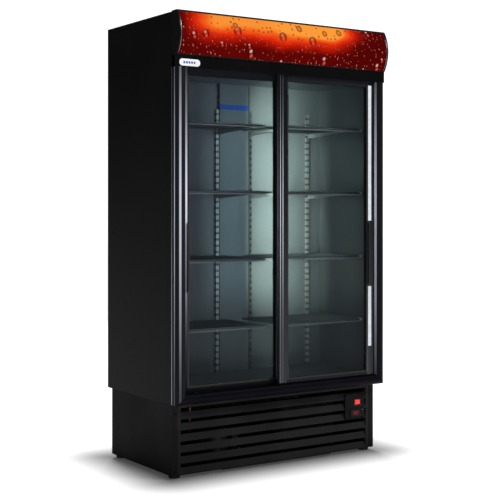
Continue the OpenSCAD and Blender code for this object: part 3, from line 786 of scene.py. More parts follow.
def pick_faces(piece: bpy.types.Object, test: Callable[[bmesh.types.BMFace], bool]) -> None:
    """Selects the faces that pass a test, in edit mode.

    Args:
        piece: The piece in edit mode.
        test: Says whether a face is wanted.
    """
    mesh = bmesh.from_edit_mesh(piece.data)
    for face in mesh.faces:
        face.select_set(bool(test(face)))
    bmesh.update_edit_mesh(piece.data)


def facing(axis: Sequence[float]) -> Callable[[bmesh.types.BMFace], bool]:
    """Returns a test for faces whose normal points along an axis."""
    wanted = Vector(axis).normalized()
    return lambda face: face.normal.dot(wanted) > 0.9


def round_edges(piece: bpy.types.Object, width: float, segments: int = 2) -> None:
    """Bevels every sharp edge of a piece with a modifier and applies it.

    Args:
        piece: The piece.
        width: The bevel's width.
        segments: The bevel's segments.
    """
    deselect()
    bpy.context.view_layer.objects.active = piece
    bevel = piece.modifiers.new("round", "BEVEL")
    bevel.width = width
    bevel.segments = segments
    bevel.limit_method = "ANGLE"
    bpy.ops.object.modifier_apply(modifier=bevel.name)


def smooth(piece: bpy.types.Object, degrees: float = 35.0) -> None:
    """Shades a piece smooth below an angle.

    Args:
        piece: The piece.
        degrees: The angle above which an edge stays sharp.
    """
    deselect()
    bpy.context.view_layer.objects.active = piece
    piece.select_set(True)
    bpy.ops.object.shade_smooth_by_angle(angle=math.radians(degrees))


def copy_of(piece: bpy.types.Object, name: str, move: Matrix) -> bpy.types.Object:
    """Copies a piece with a mesh of its own.

    Args:
        piece: The piece to copy.
        name: The copy's name.
        move: Where the copy goes, from where the piece is.

    Returns:
        The copy.
    """
    made = piece.copy()
    made.data = piece.data.copy()
    made.name = made.data.name = name
    bpy.context.scene.collection.objects.link(made)
    made.data.transform(move)
    if move.determinant() < 0:
        made.data.flip_normals()
    return made


def dress(
    piece: bpy.types.Object, material: bpy.types.Material, body: str
) -> bpy.types.Object:
    """Gives a piece its material and body.

    Args:
        piece: The piece.
        material: Its material.
        body: The body that it rides on.

    Returns:
        The piece.
    """
    piece.data.materials.clear()
    piece.data.materials.append(material)
    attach(piece, body)
    return piece


def ring(name: str, low: Sequence[float], high: Sequence[float], width: float) -> bpy.types.Object:
    """Makes a rectangular frame that lies in an XZ plane, with rounded edges.

    Args:
        name: The piece's name.
        low: The lowest corner of its box.
        high: The highest corner of its box.
        width: The width of its members.

    Returns:
        The object.
    """
    made = block(name, low, high)
    with editing(made):
        pick_faces(made, lambda face: abs(face.normal.y) > 0.9)
        bpy.ops.mesh.inset(thickness=width, use_boundary=True)
        bpy.ops.mesh.bridge_edge_loops()
        bpy.ops.mesh.select_all(action="SELECT")
        bpy.ops.mesh.normals_make_consistent(inside=False)
    return made


# ---------------------------------------------------------------- stage


def hang_light(
    name: str,
    at: Vector,
    to: Vector,
    size: tuple[float, float],
    power: float,
    colour: Colour = (1.0, 1.0, 1.0),
    spread: float = math.pi,
) -> None:
    """Hangs one soft light.

    Args:
        name: The light's name.
        at: Its place.
        to: The point that it faces.
        size: Its width and height.
        power: Its power in watts.
        colour: Its colour.
        spread: The angle that it shines into.
    """
    data = bpy.data.lights.new(name, "AREA")
    data.shape = "RECTANGLE"
    data.size, data.size_y = size
    data.energy = power
    data.color = colour
    data.spread = spread
    lamp = bpy.data.objects.new(name, data)
    lamp.location = at
    lamp.rotation_euler = (at - to).to_track_quat("Z", "Y").to_euler()
    bpy.context.scene.collection.objects.link(lamp)


@dataclass
class Studio:
    """Pale floor with a painted shadow round the base, soft lights and the camera."""

    eye: Vector = field(default_factory=lambda: Vector((-2.997, -4.472, 1.160)))
    turn: float = math.radians(-33.87)
    lens: float = 81.8
    rise: float = -0.0804
    lights: tuple[tuple, ...] = (
        ("key", (3.0, -4.2, 4.6), (0.1, 0.0, 1.0), (2.2, 1.6), 150.0),
        ("edge", (-1.75, -6.1, 1.25), (-0.5, 0.0, 1.2), (0.34, 2.8), 60.0),
        ("side", (-6.0, 0.6, 2.6), (0.0, 0.3, 0.8), (1.4, 1.4), 4.0),
        ("overhead", (0.0, -0.6, 6.0), (0.0, 0.0, 0.0), (5.0, 5.0), 25.0),
        ("back", (1.6, 5.2, 3.2), (0.0, 0.0, 0.9), (2.6, 2.0), 520.0),
    )

    def build(self) -> None:
        """Builds the floor, the surroundings, the camera and the lights."""
        self._floor()
        self._surroundings()
        self._camera()
        for name, at, to, size, power in self.lights:
            hang_light(name, Vector(at), Vector(to), size, power)

    @staticmethod
    def _floor() -> None:
        """Lays the floor under the feet, with a painted shadow round the base."""
        deselect()
        bpy.ops.mesh.primitive_plane_add(size=60.0, location=(0.0, 0.0, -0.0005))
        floor = settle("studio_floor")
        s = Shader("studio_floor")
        cloud = s.noise(1.5, 2.0)
        x, y, _ = s.axes()
        # Painted shadow: the floor's glow is nearly black at the base's footprint and rises to full white
        # about 0.34 m out.
        low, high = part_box("base_sides")
        over_x = (x.abs() - high.x).largest(0.0)
        over_y = ((y - (low.y + high.y) / 2).abs() - (high.y - low.y) / 2).largest(0.0)
        away = (over_x.power(2.0) + over_y.power(2.0)).power(0.5).eased(-0.05, 0.34)
        s.set(Base_Color=s.mix(cloud, (0.28, 0.28, 0.28), (0.31, 0.31, 0.31)), Roughness=0.9)
        s.set(Emission_Color=s.mix(away, (0.0, 0.0, 0.0), (1.10, 1.10, 1.10)))
        s.set(Emission_Strength=1.0, Specular_IOR_Level=0.0)
        floor.data.materials.append(s.material)

    @staticmethod
    def _surroundings() -> None:
        """Makes the white surroundings, bright to look at and dim as a light."""
        world = bpy.data.worlds.new("studio")
        bpy.context.scene.world = world
        world.use_nodes = True
        tree = world.node_tree
        tree.nodes.clear()
        out = tree.nodes.new("ShaderNodeOutputWorld")
        back = tree.nodes.new("ShaderNodeBackground")
        path = tree.nodes.new("ShaderNodeLightPath")
        level = tree.nodes.new("ShaderNodeMapRange")
        level.inputs["To Min"].default_value = 0.022
        level.inputs["To Max"].default_value = 1.5
        tree.links.new(path.outputs["Is Camera Ray"], level.inputs["Value"])
        tree.links.new(level.outputs[0], back.inputs["Strength"])
        tree.links.new(back.outputs[0], out.inputs["Surface"])
        bpy.context.scene.view_settings.view_transform = "Standard"

    def _camera(self) -> None:
        """Puts the camera at the front left, level, a little above the middle."""
        data = bpy.data.cameras.new("camera")
        data.lens = self.lens
        data.sensor_width = 36.0
        data.shift_y = self.rise
        data.clip_end = 200.0
        camera = bpy.data.objects.new("camera", data)
        camera.location = self.eye
        camera.rotation_euler = (math.pi / 2, 0.0, self.turn)
        bpy.context.scene.collection.objects.link(camera)
        bpy.context.scene.camera = camera


# ---------------------------------------------------------------- finishes on the frame's nodes


class Finish(Enum):
    """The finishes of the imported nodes."""

    SHELL = "shell_black"
    LINER = "liner_grey"
    FOAM = "foam"
    LABEL = "label_blue"
    SHELF = "shelf_steel"
    COIL = "coil_aluminium"
    FAN = "fan_black"
    POST = "post_aluminium"
    LAMP = "lamp_glow"
    FRAME = "frame_black"
    TRACK = "track_aluminium"
    DOOR = "door_aluminium"
    GLASS = "clear_glass"
    HANDLE = "handle_black"
    ROLLER = "roller_nylon"
    TRIM = "trim_black"
    CANOPY = "canopy_lit"
    CANOPY_BACK = "canopy_white"
    TUBE = "tube_glow"
    BADGE = "badge_silver"
    PAN = "galvanised"
    CONTROL = "control_grey"
    ROCKER = "rocker_red"
    DISPLAY = "display_black"
    COMPRESSOR = "compressor_black"
    ROTOR = "rotor_aluminium"
    PIPE = "copper"
    FOOT = "foot_black"


@dataclass
class Palette:
    """Every finish, built once and shared; special ones go by a node's or a piece's name."""

    made: dict[Finish, bpy.types.Material] = field(default_factory=dict)
    special: dict[str, bpy.types.Material] = field(default_factory=dict)

    def build(self) -> None:
        """Builds the materials."""
        floor_z, top_z = (corner.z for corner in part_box("liner_walls"))
        canopy_low, canopy_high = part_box("canopy_panel")
        recipes = {
            Finish.SHELL: Paint("shell_black", (0.0024, 0.0024, 0.0024), 0.50, 0.04),
            Finish.LINER: LinerSheet("liner_grey", (0.150, 0.176, 0.200), floor_z, top_z),
            Finish.FOAM: SealedFoam("foam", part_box("foam_insulation")[0].y),
            Finish.LABEL: Plastic("label_blue", (0.02, 0.09, 0.42), 0.3, 2500.0, 0.00001),
            Finish.SHELF: BareMetal("shelf_steel", (0.20, 0.22, 0.24), 0.34, (0.02, 1.0, 1.0)),
            # Painted shade: the coil's aluminium is darkened for the dark space behind the louvres.
            Finish.COIL: BareMetal("coil_aluminium", (0.10, 0.11, 0.115), 0.4),
            Finish.FAN: Plastic("fan_black", (0.02, 0.02, 0.022), 0.55),
            Finish.POST: Extrusion("post_aluminium", (0.20, 0.22, 0.23), 0.7, 0.3),
            Finish.LAMP: Glow("lamp_glow", (0.80, 0.95, 0.90), 0.25),
            Finish.FRAME: Extrusion("frame_black", (0.0075, 0.0080, 0.0130), 0.35, 0.27, coat=0.2),
            Finish.TRACK: Extrusion("track_aluminium", (0.22, 0.23, 0.25), 0.9, 0.35, "X"),
            Finish.DOOR: Profile("door_aluminium", (0.007, 0.0075, 0.011), metal=0.2, coat=0.05, gloss=0.4),
            Finish.GLASS: Glazing("clear_glass"),
            Finish.HANDLE: Plastic("handle_black", (0.006, 0.006, 0.007), 0.3),
            Finish.ROLLER: Plastic("roller_nylon", (0.78, 0.78, 0.74), 0.4),
            Finish.TRIM: Paint("trim_black", (0.004, 0.004, 0.0045), 0.3, 0.1),
            Finish.CANOPY: FizzyCanopy("canopy_lit", canopy_low, canopy_high),
            Finish.CANOPY_BACK: Paint("canopy_white", (0.85, 0.85, 0.82), 0.5, 0.4),
            Finish.TUBE: Glow("tube_glow", (1.0, 0.86, 0.66), 2.0),
            Finish.BADGE: Paint("badge_silver", (0.80, 0.83, 0.86), 0.35, 0.5),
            Finish.PAN: BareMetal("galvanised", (0.10, 0.105, 0.11), 0.5, (1.0, 1.0, 1.0), 40.0),
            Finish.CONTROL: Plastic("control_grey", (0.0036, 0.0036, 0.0040), 0.45, specular=0.05),
            Finish.ROCKER: Glow("rocker_red", (0.9, 0.03, 0.02), 0.58),
            Finish.DISPLAY: Plastic("display_black", (0.003, 0.003, 0.0035), 0.35, specular=0.1),
            Finish.COMPRESSOR: Paint("compressor_black", (0.010, 0.010, 0.011), 0.35, 0.4),
            Finish.ROTOR: BareMetal("rotor_aluminium", (0.60, 0.62, 0.64), 0.32),
            Finish.PIPE: BareMetal("copper", (0.72, 0.32, 0.16), 0.28),
            Finish.FOOT: Plastic("foot_black", (0.008, 0.008, 0.008), 0.7),
        }
        for finish, recipe in recipes.items():
            self.made[finish] = recipe.build()
        inner_left, inner_right = (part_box(f"{side}_door_inner_stile") for side in SIDES)
        outer_left, outer_right = (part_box(f"{side}_door_outer_stile") for side in SIDES)
        jamb_left, jamb_right = (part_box(f"frame_jamb_{side}")[0] for side in SIDES)
        dark = (0.010, 0.011, 0.015)
        dull = {"metal": 0.1, "coat": 0.0, "gloss": 0.45}
        special = {
            "shelf_standards": SlottedSteel(
                "standard_zinc",
                pitch=0.030,
                slot=0.012,
                start=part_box("shelf_standards")[0].z,
                shaded=(0.07, 0.13),
            ),
            # Painted highlights: the door stiles and frame jambs below take bright bands along their length.
            "right_door_inner_stile": Profile(
                "profile_right_inner",
                dark,
                highlight_bands=(
                    highlight_band(inner_right[0].x, 0.004, 0.009, 0.45),
                    highlight_band(inner_right[0].x, 0.018, 0.0235, 0.50),
                ),
                sides=(highlight_band(inner_right[0].y, 0.008, 0.014, 0.45),),
                highlight_focus=2.2,
            ),
            "left_door_inner_stile": Profile(
                "profile_left_inner", dark, highlight_bands=(highlight_band(inner_left[0].x, 0.0, 0.006, 0.02),)
            ),
            "left_door_outer_stile": Profile(
                "profile_left_outer",
                dark,
                highlight_bands=(highlight_band(outer_left[1].x, -0.0185, -0.003, 0.50),),
                highlight_focus=2.2,
                highlight_fade_z=0.70,
                **dull,
            ),
            "right_door_outer_stile": Profile(
                "profile_right_outer", dark, highlight_bands=(highlight_band(outer_right[0].x, -0.003, 0.004, 0.025),)
            ),
            "frame_jamb_left": Profile(
                "profile_left_jamb",
                (0.0075, 0.0080, 0.0115),
                highlight_bands=(highlight_band(jamb_left.x, 0.0115, 0.0205, 0.38),),
                sides=(highlight_band(jamb_left.y, 0.021, 0.0265, 0.45),),
                highlight_focus=1.0,
                **dull,
            ),
            # Painted shade: the right jamb takes a darker copy of the frame's black than the left.
            "frame_jamb_right": Profile(
                "profile_right_jamb",
                (0.004, 0.004, 0.006),
                highlight_bands=(highlight_band(jamb_right.x, -0.004, 0.005, 0.36),),
                highlight_focus=0.8,
                **dull,
            ),
            # Painted shade: the sill and head take darker copies of the frame's black.
            "frame_sill": Paint("sill_black_painted_shade", (0.0030, 0.0029, 0.0052), 0.46, 0.03),
            "frame_head": Paint("head_black_painted_shade", (0.0030, 0.0032, 0.0045), 0.42, 0.08),
            # Painted light: the base takes a paler copy of the cabinet's black, for the light bounced up from
            # the floor.
            "base_sides": Paint("base_black_painted_lit", (0.0110, 0.0110, 0.0114), 0.5, 0.01),
            "front_grille": Paint("grille_black", (0.0170, 0.0170, 0.0170), 0.5, 0.02),
            "fascia": Paint("fascia_black", (0.0020, 0.0020, 0.0024), 0.4, 0.03),
        }
        wire, bracket = (0.20, 0.22, 0.24), (0.30, 0.33, 0.35)
        for level in LEVELS:
            split_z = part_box(f"shelves_{level}")[1].z - 0.0095
            special[f"shelves_{level}"] = ShelfSteel(f"shelf_steel_{level}", wire, bracket, split_z)
        # Painted highlight: the right door's strips glow in place of the light that its stile reflects.
        special["painted_highlight_strip"] = Glow("painted_highlight_strip", (0.46, 0.49, 0.52), 0.62)
        special["digits"] = Glow("digits", (0.45, 0.01, 0.03), 0.4)
        special["green_led"] = Glow("green_led", (0.02, 0.5, 0.12), 0.8)
        # Partly a painted highlight: the caps' white stands in for the light on the shelves' ends.
        special["cap_white_and_highlight"] = Plastic("cap_white_and_highlight", (0.78, 0.80, 0.82), 0.4)
        self.special = {node: recipe.build() for node, recipe in special.items()}

    def __getitem__(self, finish: Finish) -> bpy.types.Material:
        """Returns one material."""
        return self.made[finish]

    def dress_nodes(self) -> None:
        """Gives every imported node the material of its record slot."""
        slot_of = {part["node"]: part["material_slot"] for part in frame["record"]["subparts"]}
        for name, piece in frame["nodes"].items():
            piece.data.materials.clear()
            piece.data.materials.append(self.special.get(name, self.made[Finish(slot_of[name])]))


# ---------------------------------------------------------------- interior light


@dataclass
class LampLight:
    """The light that the lamp post throws on the rear of the storage space."""

    power: float = 1.42
    wash: float = 0.11
    shares: tuple[float, ...] = (0.10, 0.90, 0.88, 0.74)
    aim_x: float = 0.265
    spread: float = 1.05
    width: float = 0.012
    offset: tuple[float, float] = (0.016, 0.004)
    green: Colour = (0.86, 1.0, 0.80)
    cool: Colour = (0.62, 0.97, 1.0)

    def build(self) -> None:
        """Hangs narrow lights behind the lens, dim below the lowest shelf."""
        low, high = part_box("lamp_lens")
        x, y = (low.x + high.x) / 2 + self.offset[0], high.y + self.offset[1]
        wall_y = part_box("rear_duct")[0].y
        length = (high.z - low.z) / len(self.shares)
        for i, share in enumerate(self.shares):
            at = Vector((x, y, low.z + (i + 0.5) * length))
            for kind, aim_x, power, colour in (
                ("lens", self.aim_x, self.power, self.green),
                ("wash", 0.0, self.wash, self.cool),
            ):
                to = Vector((aim_x, wall_y, at.z))
                hang_light(f"{kind}_{i}", at, to, (self.width, length), power * share, colour, self.spread)


# ---------------------------------------------------------------- added pieces


def strip(
    name: str, low: Sequence[float], high: Sequence[float], edge: float = 0.0005
) -> bpy.types.Object:
    """Makes a bar between two corners with rounded edges.

    Args:
        name: The piece's name.
        low: The lowest corner.
        high: The highest corner.
        edge: The width of the edges' rounding.

    Returns:
        The object.
    """
    made = block(name, low, high)
    round_edges(made, edge)
    smooth(made)
    return made


def corners(low: Sequence[float], high: Sequence[float], in_x: float, in_y: float) -> list[tuple]:
    """Returns four places inside the corners of a rectangle.

    Args:
        low: The rectangle's lowest corner.
        high: Its highest corner.
        in_x: How far inside along the first axis.
        in_y: How far inside along the second axis.

    Returns:
        The places, lowest first.
    """
    return [(x, y) for x in (low[0] + in_x, high[0] - in_x) for y in (low[1] + in_y, high[1] - in_y)]


@dataclass
class Addition:
    """Pieces added around the frame, with the finishes that they take."""

    palette: Palette

    def add(
        self, piece: bpy.types.Object, finish: Finish, body: str = "cabinet", special: str = ""
    ) -> None:
        """Dresses one added piece.

        Args:
            piece: The piece.
            finish: The finish, whose value is the record's slot.
            body: The body that it rides on.
            special: The special material that takes the finish's place, if any.
        """
        material = self.palette.special[special] if special else self.palette[finish]
        dress(piece, material, body)

    def repeat(
        self,
        pattern: bpy.types.Object,
        moves: dict[str, Matrix | Vector],
        finish: Finish,
        special: str = "",
    ) -> None:
        """Adds a copy of a pattern at each place on the cabinet, and drops the pattern.

        Args:
            pattern: The piece to copy.
            moves: For each copy's name its move, as a place or a whole transform.
            finish: The copies' finish.
            special: The special material that takes the finish's place, if any.
        """
        for name, move in moves.items():
            if isinstance(move, Vector):
                move = Matrix.Translation(move)
            self.add(copy_of(pattern, name, move), finish, special=special)
        bpy.data.objects.remove(pattern)


@dataclass
class Screw:
    """Pan-head screw with a cross recess, facing -Y until it is turned."""

    radius: float = 0.0035
    head: float = 0.0018
    pinch: float = 0.38

    def build(self, name: str) -> bpy.types.Object:
        """Models the head with its underside at the origin.

        Args:
            name: The piece's name.

        Returns:
            The object.
        """
        made = disc(name, self.radius, self.head, (0.0, -self.head / 2, 0.0), "Y", 16)
        with editing(made):
            pick_faces(made, facing((0.0, -1.0, 0.0)))
            bpy.ops.mesh.inset(thickness=self.radius * 0.18)
            bpy.ops.transform.translate(value=(0.0, -self.head * 0.35, 0.0))
            bpy.ops.mesh.inset(thickness=self.radius * 0.22)
            mesh = bmesh.from_edit_mesh(made.data)
            for face in mesh.faces:
                if face.select:
                    for vert in face.verts:
                        turn = math.degrees(math.atan2(vert.co.z, vert.co.x)) % 90.0
                        if 10.0 < turn < 80.0:
                            vert.co.x *= self.pinch
                            vert.co.z *= self.pinch
            bmesh.update_edit_mesh(made.data)
            sink = {"value": (0.0, self.head * 0.55, 0.0)}
            bpy.ops.mesh.extrude_region_move(TRANSFORM_OT_translate=sink)
        smooth(made, 40.0)
        return made


@dataclass
class CanopyDressing(Addition):
    """Bright rims at both ends of the lit canopy."""

    rim: float = 0.0016
    inset: float = 0.0012
    segments: int = 24
    bow: float = 0.029
    reach: float = 0.97

    def build(self) -> None:
        """Adds a bright rim where the panel meets each end cap."""
        low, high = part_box("canopy_panel")
        chord, rise = high.z - low.z, self.bow
        radius = (chord * chord / 4 + rise * rise) / (2 * rise)
        centre = Vector((0.0, low.y + radius, (low.z + high.z) / 2))
        half = math.asin(min(1.0, chord / 2 / radius)) * self.reach
        for side, x in (("left", low.x + self.inset), ("right", high.x - self.inset)):
            made = self._arc(f"canopy_rim_{side}", x, centre, radius, half)
            self.add(made, Finish.POST)

    def _arc(self, name: str, x: float, centre: Vector, radius: float, half: float) -> bpy.types.Object:
        """Sweeps a small square along the panel's bow.

        Args:
            name: The piece's name.
            x: The arc's place across the canopy.
            centre: The bow's centre.
            radius: The bow's radius.
            half: Half of the bow's angle.

        Returns:
            The object.
        """
        deselect()
        at = (x, centre.y - radius, centre.z)
        bpy.ops.mesh.primitive_plane_add(size=self.rim, location=at)
        made = settle(name)
        hub = (x, centre.y, centre.z)
        with editing(made):
            bpy.ops.mesh.select_all(action="SELECT")
            bpy.ops.transform.rotate(value=half, orient_axis="X", orient_type="GLOBAL", center_override=hub)
        spot = sum((v.co for v in made.data.vertices), Vector()) / len(made.data.vertices)
        turn = 2 * half if spot.z < centre.z else -2 * half
        with editing(made):
            bpy.ops.mesh.select_all(action="SELECT")
            bpy.ops.mesh.spin(steps=self.segments, angle=turn, center=centre, axis=(1.0, 0.0, 0.0))
            bpy.ops.mesh.select_all(action="SELECT")
            bpy.ops.mesh.normals_make_consistent(inside=False)
        smooth(made)
        return made


@dataclass
class BadgePrint(Addition):
    """Generic bars printed on the pale badge, sized as shares of the badge."""

    count: int = 5
    margin: float = 0.19
    bar: float = 0.66
    rows: tuple[float, float] = (0.34, 0.66)

    def build(self) -> None:
        """Adds the bars to the badge's face."""
        low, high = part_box("badge")
        width, height = high.x - low.x, high.z - low.z
        step = width * (1.0 - 2 * self.margin) / self.count
        z0, z1 = (low.z + height * row for row in self.rows)
        pattern = strip("bar", (0.0, low.y - 0.0006, z0), (step * self.bar, low.y + 0.0004, z1), 0.0003)
        start = low.x + width * self.margin
        moves = {f"badge_bar_{i}": Vector((start + i * step, 0.0, 0.0)) for i in range(self.count)}
        self.repeat(pattern, moves, Finish.LABEL)


@dataclass
class DoorDressing(Addition):
    """Gaskets and brush seal of one door."""

    side: str
    gasket: float = 0.006
    sunk: float = 0.0015
    overlap: float = 0.008
    brush: tuple[float, float, float] = (0.0015, 0.006, 0.02)

    @property
    def body(self) -> str:
        """Returns the door's body."""
        return f"{self.side}_door"

    def build(self) -> None:
        """Adds the door's pieces."""
        self._gaskets()
        self._brush()

    def opening(self) -> Span:
        """Returns the corners of the clear glass."""
        stiles = (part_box(f"{self.body}_{place}_stile") for place in ("outer", "inner"))
        left, right = sorted(stiles, key=lambda span: span[0].x)
        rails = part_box(f"{self.body}_rails")
        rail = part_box(f"{self.body}_glass")[0].z - rails[0].z + self.overlap
        low = Vector((left[1].x, rails[0].y, rails[0].z + rail))
        high = Vector((right[0].x, rails[1].y, rails[1].z - rail))
        return low, high

    def _gaskets(self) -> None:
        """Runs a rubber wedge around both faces of the glass."""
        low, high = self.opening()
        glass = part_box(f"{self.body}_glass")
        for face, y0, y1 in (
            ("front", low.y + self.sunk, glass[0].y),
            ("rear", glass[1].y, high.y - self.sunk),
        ):
            made = ring(f"{self.body}_gasket_{face}", (low.x, y0, low.z), (high.x, y1, high.z), self.gasket)
            round_edges(made, 0.0006)
            self.add(made, Finish.HANDLE, self.body)

    def _brush(self) -> None:
        """Runs a brush seal down the front of the left door or the rear of the right one."""
        low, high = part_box(f"{self.body}_inner_stile")
        half, long, short = self.brush
        x = (low.x + high.x) / 2
        y0, y1 = (low.y - long, low.y + 0.0005) if self.side == "left" else (high.y - 0.0005, high.y + long)
        made = strip(f"{self.body}_brush", (x - half, y0, low.z + short), (x + half, y1, high.z - short))
        self.add(made, Finish.FOOT, self.body)


@dataclass
class HighlightStrips(Addition):
    """Pale strips above and below the right door's handle, glowing as a painted highlight of the light along
    the stile.
    """

    width: float = 0.0185
    proud: float = 0.002
    lowest: float = 0.512
    gap: float = 0.006
    inset: float = 0.004
    below_top: float = 0.040

    def build(self) -> None:
        """Adds the two strips to the outer stile's face."""
        stile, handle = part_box("right_door_outer_stile")[0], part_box("right_door_handle")
        x = stile.x + self.inset
        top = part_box("right_door_rails")[1].z - self.below_top
        for name, z0, z1 in (
            ("upper", handle[1].z + self.gap, top),
            ("lower", self.lowest, handle[0].z - self.gap),
        ):
            low, high = (x, stile.y - self.proud, z0), (x + self.width, stile.y + 0.0005, z1)
            made = strip(f"right_door_strip_{name}", low, high, 0.0006)
            self.add(made, Finish.BADGE, "right_door", "painted_highlight_strip")


@dataclass
class Controls(Addition):
    """Bezel, marks and read-out on the control panel."""

    bezel: float = 0.0022
    gap: float = 0.0012
    digit: tuple[float, float] = (0.0085, 0.015)
    bar: float = 0.0013
    key: tuple[float, float] = (0.008, 0.006)
    key_step: float = 0.012

    def build(self) -> None:
        """Adds the pieces around the rocker and on the thermostat."""
        rocker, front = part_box("power_rocker"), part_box("control_panel")[0].y
        edge = self.gap + self.bezel
        made = ring(
            "rocker_bezel",
            (rocker[0].x - edge, front - 0.0016, rocker[0].z - edge),
            (rocker[1].x + edge, front + 0.0003, rocker[1].z + edge),
            self.bezel,
        )
        round_edges(made, 0.0004)
        self.add(made, Finish.HANDLE)
        low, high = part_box("thermostat")
        self._digits(low, (low.z + high.z) / 2)
        self._keys(Vector((high.x, low.y, low.z)), high.z)

    def _digits(self, low: Vector, middle: float) -> None:
        """Adds three segment digits to the thermostat.

        Args:
            low: The thermostat's lowest corner.
            middle: The height of the digits' middle.
        """
        wide, tall = self.digit
        bar, z = self.bar, middle - tall / 2
        lit = {"first": "bcfg", "second": "acdfg", "third": "abcd"}
        for i, (name, on) in enumerate(lit.items()):
            x = low.x + 0.014 + i * wide * 1.45
            spots = {
                "a": (x, z + tall - bar, x + wide, z + tall),
                "b": (x + wide - bar, z + tall / 2, x + wide, z + tall),
                "c": (x + wide - bar, z, x + wide, z + tall / 2),
                "d": (x, z, x + wide, z + bar),
                "f": (x, z + tall / 2, x + bar, z + tall),
                "g": (x, z + tall / 2 - bar / 2, x + wide, z + tall / 2 + bar / 2),
            }
            for key in on:
                x0, z0, x1, z1 = spots[key]
                ends = (x0, low.y - 0.0003, z0), (x1, low.y + 0.0002, z1)
                made = strip(f"digit_{name}_{key}", *ends, 0.0001)
                self.add(made, Finish.ROCKER, special="digits")

    def _keys(self, corner: Vector, top: float) -> None:
        """Adds four keys and a lamp to the thermostat.

        Args:
            corner: The lowest right corner of the thermostat's face.
            top: The height of its top.
        """
        wide, tall = self.key
        pattern = strip("key", (0.0, -0.0005, 0.0), (wide, 0.0003, tall), 0.0002)
        moves = {}
        for i in range(4):
            across, up = (i % 2) * self.key_step, (i // 2) * self.key_step
            moves[f"thermostat_key_{i}"] = corner + Vector((across - 0.026, 0.0, up + 0.008))
        self.repeat(pattern, moves, Finish.CONTROL)
        at = (corner.x - 0.004, corner.y - 0.0002, top - 0.005)
        dot = disc("thermostat_led", 0.0012, 0.0008, at, "Y", 12)
        round_edges(dot, 0.0003)
        self.add(dot, Finish.ROCKER, special="green_led")


@dataclass
class ShelfCaps(Addition):
    """Pale end caps on the shelves' front corners; their white is partly a painted highlight where the
    shelves' right ends catch the light.
    """

    size: float = 0.009
    long: float = 0.016
    tall: float = 0.012
    lap: float = 0.0008

    def build(self) -> None:
        """Adds a cap to each front corner of each shelf."""
        corner = (self.size + self.lap, self.long + self.lap, self.tall + self.lap / 2)
        pattern = strip("cap", (0.0, 0.0, 0.0), corner, 0.0012)
        moves = {}
        for level in LEVELS:
            low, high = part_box(f"shelves_{level}")
            for side, x in (("left", low.x - self.lap), ("right", high.x - self.size)):
                moves[f"shelf_cap_{level}_{side}"] = Vector((x, low.y - self.lap, high.z - self.tall))
        self.repeat(pattern, moves, Finish.ROLLER, "cap_white_and_highlight")


@dataclass
class DuctEdgeStrips(Addition):
    """Dark strips down both edges of the centre duct."""

    width: float = 0.004
    short: float = 0.004

    def build(self) -> None:
        """Adds the two strips."""
        low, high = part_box("centre_duct")
        for side, x in (("left", low.x), ("right", high.x - self.width)):
            made = strip(
                f"duct_edge_strip_{side}",
                (x, low.y - 0.0012, low.z + self.short),
                (x + self.width, low.y + 0.0004, high.z - self.short),
                0.0004,
            )
            self.add(made, Finish.HANDLE)


@dataclass
class JambLips(Addition):
    """Thin bright lip down each jamb's outer corner, over the side panel's edge; its pale metal is partly a
    painted highlight along the corner.
    """

    width: float = 0.0016
    proud: float = 0.0004
    short: float = 0.002

    def build(self) -> None:
        """Adds the two lips."""
        for side in SIDES:
            low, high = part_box(f"frame_jamb_{side}")
            x0 = low.x - self.proud if side == "left" else high.x - self.width
            x1 = x0 + self.proud + self.width
            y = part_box(f"side_panel_{side}")[0].y
            ends = (x0, y - 0.0012, low.z + self.short), (x1, y + 0.0016, high.z - self.short)
            made = strip(f"jamb_lip_{side}", *ends, 0.0003)
            self.add(made, Finish.POST)


@dataclass
class FootNuts(Addition):
    """Hexagonal nut on each levelling foot."""

    radius: float = 0.011
    thick: float = 0.0040
    reach: float = 0.025

    def build(self) -> None:
        """Adds a nut above each foot's pad."""
        low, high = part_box("feet")
        pattern = disc("nut", self.radius, self.thick, (0.0, 0.0, -self.thick / 2 - 0.0004), "Z", 6)
        round_edges(pattern, 0.0005)
        spots = corners(low, high, self.reach, self.reach)
        moves = {f"foot_nut_{i}": Vector((x, y, high.z)) for i, (x, y) in enumerate(spots)}
        self.repeat(pattern, moves, Finish.PAN)


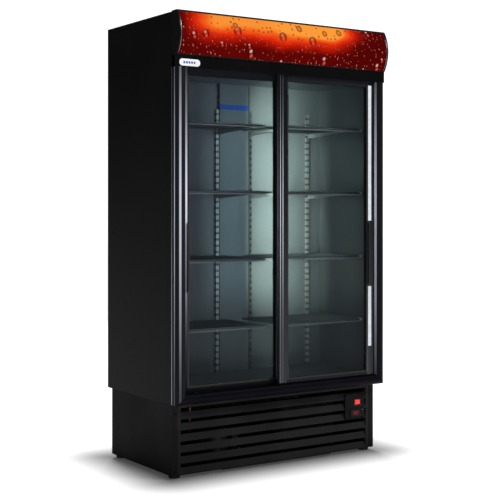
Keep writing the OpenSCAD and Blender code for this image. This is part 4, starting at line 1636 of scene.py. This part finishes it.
@dataclass
class Fasteners(Addition):
    """The visible screws and their places."""

    screw: Screw = field(default_factory=Screw)
    panel_in: float = 0.007
    rear_in: tuple[float, float] = (0.02, 0.06)
    rear_rows: int = 4

    def build(self) -> None:
        """Sets copies of the screw."""
        moves = {
            name: Matrix.Translation(place) @ Matrix.Rotation(turn, 4, "Z")
            for name, place, turn in (*self._front(), *self._rear())
        }
        self.repeat(self.screw.build("screw_pattern"), moves, Finish.SHELL)

    def _front(self) -> Iterator[tuple[str, Vector, float]]:
        """Yields the name, place and turn of each screw in the posts and the control panel."""
        base, grille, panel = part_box("base_sides"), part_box("front_grille"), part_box("control_panel")
        post = (base[1].x - grille[1].x) / 2
        for side, x in zip(SIDES, (base[0].x + post, base[1].x - post)):
            for at, z in (("low", base[0].z + 0.018), ("high", base[1].z - 0.040)):
                yield f"screw_post_{side}_{at}", Vector((x, base[0].y, z)), 0.0
        for i, (x, z) in enumerate(corners(panel[0].xz, panel[1].xz, self.panel_in, self.panel_in)):
            yield f"screw_panel_{i}", Vector((x, panel[0].y, z)), 0.0

    def _rear(self) -> Iterator[tuple[str, Vector, float]]:
        """Yields the name, place and turn of each screw in the rear panel."""
        low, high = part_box("rear_panel")
        in_x, in_z = self.rear_in
        for i in range(self.rear_rows):
            z = low.z + in_z + i * (high.z - low.z - 2 * in_z) / (self.rear_rows - 1)
            for side, x in zip(SIDES, (low.x + in_x, high.x - in_x)):
                yield f"screw_rear_{side}_{i}", Vector((x, high.y, z)), math.pi


@dataclass
class RatingPlate(Addition):
    """Blank rating plate on the rear of the base."""

    size: tuple[float, float] = (0.09, 0.05)
    left: float = -0.30
    rise: float = 0.09
    inset: float = 0.006
    row: tuple[float, float] = (0.006, 0.011)

    def build(self) -> None:
        """Adds the plate and its blank fields."""
        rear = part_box("rear_panel")
        x, z, y = self.left, rear[0].z + self.rise, rear[1].y
        wide, tall = self.size
        plate = strip("rating_plate", (x, y - 0.0003, z), (x + wide, y + 0.0008, z + tall), 0.0003)
        self.add(plate, Finish.POST)
        high, step = self.row
        ends = (x + self.inset, y + 0.0006, 0.0), (x + wide - self.inset, y + 0.0011, high)
        pattern = strip("field", *ends, 0.0002)
        start = z + self.inset
        moves = {f"rating_field_{i}": Vector((0.0, 0.0, start + i * step)) for i in range(4)}
        self.repeat(pattern, moves, Finish.TRIM)


def main() -> None:
    """Builds everything around the frame, in order."""
    logging.basicConfig(level=logging.INFO, format="%(name)s: %(message)s")
    Studio().build()
    palette = Palette()
    palette.build()
    palette.dress_nodes()
    LampLight().build()
    log.info("dressed %d nodes", len(frame["nodes"]))
    for addition in (
        CanopyDressing(palette),
        BadgePrint(palette),
        *(DoorDressing(palette, side) for side in SIDES),
        HighlightStrips(palette),
        Controls(palette),
        ShelfCaps(palette),
        DuctEdgeStrips(palette),
        JambLips(palette),
        FootNuts(palette),
        RatingPlate(palette),
        Fasteners(palette),
    ):
        addition.build()
        log.info("built %s", type(addition).__name__)


if __name__ == "__main__":
    main()
